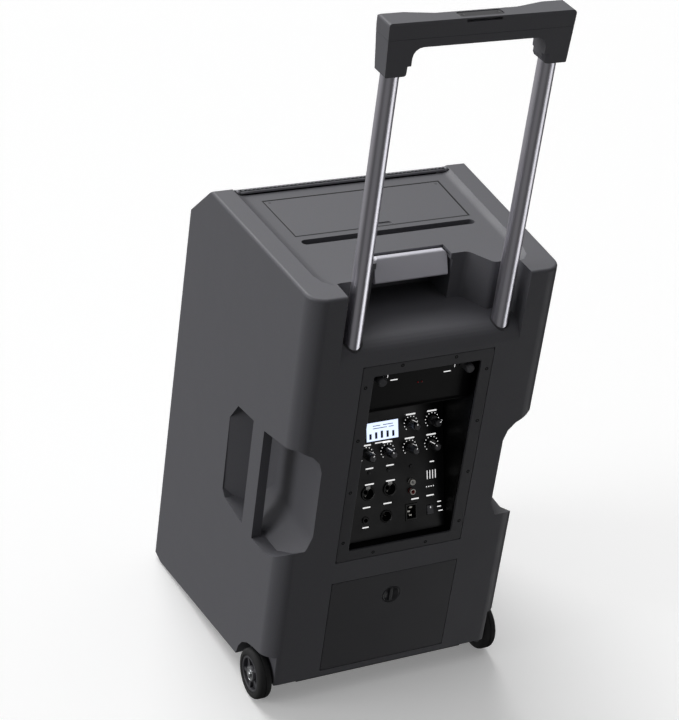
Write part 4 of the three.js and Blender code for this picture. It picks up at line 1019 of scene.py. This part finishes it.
# ------------------------------------------------------------------ wheels and feet
class SPEAKER_OT_wheels(bpy.types.Operator):
    """Tyres with a centre groove, spoked hubs, bright bearings and axles"""
    bl_idname = "speaker.wheels"
    bl_label = "Wheels"

    def execute(self, context):
        for side, sign in (("left", 1), ("right", -1)):
            low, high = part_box(f"wheel_tyre_{side}")
            width = (high[0] - low[0]) * 1000
            inner = (low[0] if sign > 0 else high[0]) * 1000
            y = (low[1] + high[1]) / 2 * 1000
            z = (low[2] + high[2]) / 2 * 1000
            r = (high[2] - low[2]) / 2 * 1000
            axle = shift(inner, y, z) @ Matrix.Rotation(sign * math.pi / 2, 4, "Y")
            w = width
            tyre = turned(f"wheel_tyre_{side}_tread", [
                (27.5, 0), (r - 5, 0), (r - 2.4, 0.8), (r - 0.7, 3), (r, 5.6), (r, 9.4), (r - 0.9, 9.7),
                (r - 0.9, 11.3), (r, 11.6), (r, w - 5.6), (r - 0.7, w - 3), (r - 2.4, w - 0.8), (r - 5, w),
                (29.5, w), (29, w - 0.7), (27.5, w - 0.7), (27.5, 0)], 144)
            finish(place(tyre, axle), BODY_OF[f"wheel_tyre_{side}"], "tread_rubber", f"wheel_tyre_{side}")
            hub = [turned("rim", [
                (4.4, 0.4), (9, 0.4), (9, 4), (23, 4), (23, 1), (27.2, 1), (27.2, w - 1.4), (26.4, w - 0.9),
                (24.6, w - 0.9), (23.8, w - 1.6), (23, w - 7.5), (13, w - 7.5), (12.4, w - 2), (11.8, w - 1),
                (11.3, w - 0.8), (11.2, w - 3), (4.4, w - 3), (4.4, 0.4)], 72)]
            for k in range(5):
                spoke = place(slab("spoke", 11.5, 5.2, 5.4, 1.2), Matrix.Rotation(math.radians(72 * k), 4, "Z")
                              @ shift(18, 0, w - 8))
                hub.append(spoke)
            wheel = joined(f"wheel_hub_{side}_spoked", hub)
            finish(place(wheel, axle), BODY_OF[f"wheel_hub_{side}"], "trim_plastic", f"wheel_hub_{side}")
            bearing = turned(f"wheel_bearing_{side}", [
                (4.5, w - 2.9), (11, w - 2.9), (11, w - 1), (10.7, w - 0.8), (9.4, w - 0.8), (9.2, w - 1.2),
                (7, w - 1.2), (6.8, w - 0.8), (5.6, w - 0.8), (4.5, w - 1.2), (4.5, w - 2.9)], 64)
            finish(place(bearing, axle), BODY_OF[f"wheel_hub_{side}"], "axle_steel")
            pin = turned(f"wheel_axle_{side}_pin", [
                (0, -9), (4.1, -9), (4.1, w - 0.2), (5.2, w - 0.2), (5.2, w + 0.6), (4.4, w + 1.4),
                (1.6, w + 1.6), (0, w + 1.6)], 40)
            finish(place(pin, axle), BODY_OF[f"wheel_axle_{side}"], "axle_steel", f"wheel_axle_{side}")
        return {"FINISHED"}


class SPEAKER_OT_base(bpy.types.Operator):
    """Front feet and the dark strip under the rear edge"""
    bl_idname = "speaker.base"
    bl_label = "Feet and rear strip"

    def execute(self, context):
        for node in ("front_foot_left", "front_foot_right", "rear_skid"):
            moulded_copy(node, 1.0 * MM)
        return {"FINISHED"}


class SPEAKER_OT_inside(bpy.types.Operator):
    """Finishes for the nodes inside the cabinet that keep their own shape"""
    bl_idname = "speaker.inside"
    bl_label = "Inner parts"

    def execute(self, context):
        for node, obj in frame["nodes"].items():
            if obj.hide_render:
                continue
            for slot in obj.material_slots:
                slot.material = finish_for(SLOT_OF[node])
        return {"FINISHED"}


# ------------------------------------------------------------------ stage
def sun(name, direction, strength, spread):
    data = bpy.data.lights.new(name, "SUN")
    data.energy = strength
    data.angle = math.radians(spread)
    lamp = bpy.data.objects.new(name, data)
    lamp.rotation_euler = Vector(direction).to_track_quat("Z", "Y").to_euler()
    bpy.context.scene.collection.objects.link(lamp)


class SPEAKER_OT_stage(bpy.types.Operator):
    """Pale floor, soft studio light and the camera"""
    bl_idname = "speaker.stage"
    bl_label = "Stage"

    def execute(self, context):
        scene = context.scene
        floor = slab("studio_floor", 24000, 24000, 1)
        place(floor, Matrix.Translation((0, 0, -0.00105)))
        sweep = moulded("Matt white sweep", linear("#f7f7f7"), 0.9, 4, 0.001, 0.004, ior=1.2)
        lit = next(n for n in sweep.node_tree.nodes if n.type == "BSDF_PRINCIPLED")
        lit.inputs["Emission Color"].default_value = (1, 1, 1, 1)
        lit.inputs["Emission Strength"].default_value = 0.2
        floor.data.materials.append(sweep)
        floor.visible_diffuse = False
        floor.visible_glossy = False
        world = bpy.data.worlds.new("soft_tent")
        scene.world = world
        world.use_nodes = True
        tree = world.node_tree
        tree.nodes.clear()
        where = add_node(tree, "ShaderNodeTexCoord")
        lean = add_node(tree, "ShaderNodeVectorMath", {1: (0.2, -0.72, 0.66)}, {0: (where, "Generated")},
                        operation="DOT_PRODUCT")
        fall = add_node(tree, "ShaderNodeMapRange",
                        {"From Min": -0.35, "From Max": 0.6, "To Min": 0.05, "To Max": 0.4},
                        {"Value": (lean, "Value")}, interpolation_type="SMOOTHSTEP")
        both = fall
        for direction, narrow, wide, level in (((-0.735, 0.425, -0.528), 0.985, 0.93, 1.9),
                                               ((0.42, 0.735, -0.528), 0.97, 0.8, 0.14),
                                               ((-0.417, 0.909, 0.04), 0.99, 0.94, 0.5)):
            aim = add_node(tree, "ShaderNodeVectorMath", {1: direction}, {0: (where, "Generated")},
                           operation="DOT_PRODUCT")
            strip = add_node(tree, "ShaderNodeMapRange", {"From Min": wide, "From Max": narrow, "To Min": 0.0,
                             "To Max": level}, {"Value": (aim, "Value")}, interpolation_type="SMOOTHSTEP")
            both = add_node(tree, "ShaderNodeMath", None, {0: (both, 0), 1: (strip, 0)}, operation="ADD")
        soft = add_node(tree, "ShaderNodeBackground", {"Color": (1, 1, 1, 1)}, {"Strength": (both, 0)})
        plain = add_node(tree, "ShaderNodeBackground", {"Color": (1, 1, 1, 1), "Strength": 1.0})
        seen = add_node(tree, "ShaderNodeLightPath")
        mix = add_node(tree, "ShaderNodeMixShader", None,
                       {0: (seen, "Is Camera Ray"), 1: (soft, 0), 2: (plain, 0)})
        add_node(tree, "ShaderNodeOutputWorld", None, {"Surface": (mix, 0)})
        sun("overhead_bank", (0.12, -0.95, 1), 1.95, 45)
        sun("side_bank", (1, -0.15, 0.3), 0.98, 30)
        scene.view_settings.view_transform = "Standard"
        lens = bpy.data.cameras.new("studio_camera")
        lens.lens = 101.8
        lens.sensor_width = 36
        lens.clip_end = 100
        camera = bpy.data.objects.new("studio_camera", lens)
        turn, lift, roll = CAMERA_TURN, CAMERA_LIFT, CAMERA_ROLL
        back = Vector((math.sin(turn) * math.cos(lift), -math.cos(turn) * math.cos(lift), math.sin(lift)))
        level = Vector((math.cos(turn), math.sin(turn), 0))
        upright = back.cross(level)
        right = math.cos(roll) * level + math.sin(roll) * upright
        up = back.cross(right)
        basis = Matrix((right, up, back)).transposed().to_4x4()
        camera.matrix_world = Matrix.Translation(CAMERA_PLACE) @ basis
        scene.collection.objects.link(camera)
        scene.camera = camera
        return {"FINISHED"}


OPERATORS = (
    SPEAKER_OT_cabinet, SPEAKER_OT_grille, SPEAKER_OT_drivers, SPEAKER_OT_top, SPEAKER_OT_panel_box,
    SPEAKER_OT_knobs, SPEAKER_OT_sockets, SPEAKER_OT_display, SPEAKER_OT_print, SPEAKER_OT_antennas,
    SPEAKER_OT_battery_door, SPEAKER_OT_screws, SPEAKER_OT_trolley, SPEAKER_OT_grip, SPEAKER_OT_wheels,
    SPEAKER_OT_base, SPEAKER_OT_inside, SPEAKER_OT_stage,
)


class SPEAKER_PT_panel(bpy.types.Panel):
    """Sizes, colours and the pieces in the order they are built"""
    bl_idname = "SPEAKER_PT_panel"
    bl_label = "Party speaker"
    bl_space_type = "VIEW_3D"
    bl_region_type = "UI"
    bl_category = "Speaker"

    def draw(self, context):
        for group in (context.scene.speaker_sizes, context.scene.speaker_colours):
            for name in group.__annotations__:
                self.layout.prop(group, name)
        for operator in OPERATORS:
            self.layout.operator(operator.bl_idname)


CLASSES = (SpeakerSizes, SpeakerColours, *OPERATORS, SPEAKER_PT_panel)


def register():
    for item in CLASSES:
        bpy.utils.register_class(item)
    bpy.types.Scene.speaker_sizes = PointerProperty(type=SpeakerSizes)
    bpy.types.Scene.speaker_colours = PointerProperty(type=SpeakerColours)


def unregister():
    del bpy.types.Scene.speaker_colours
    del bpy.types.Scene.speaker_sizes
    for item in reversed(CLASSES):
        bpy.utils.unregister_class(item)


def main():
    register()
    for operator in OPERATORS:
        family, name = operator.bl_idname.split(".")
        getattr(getattr(bpy.ops, family), name)()


if __name__ == "__main__":
    main()
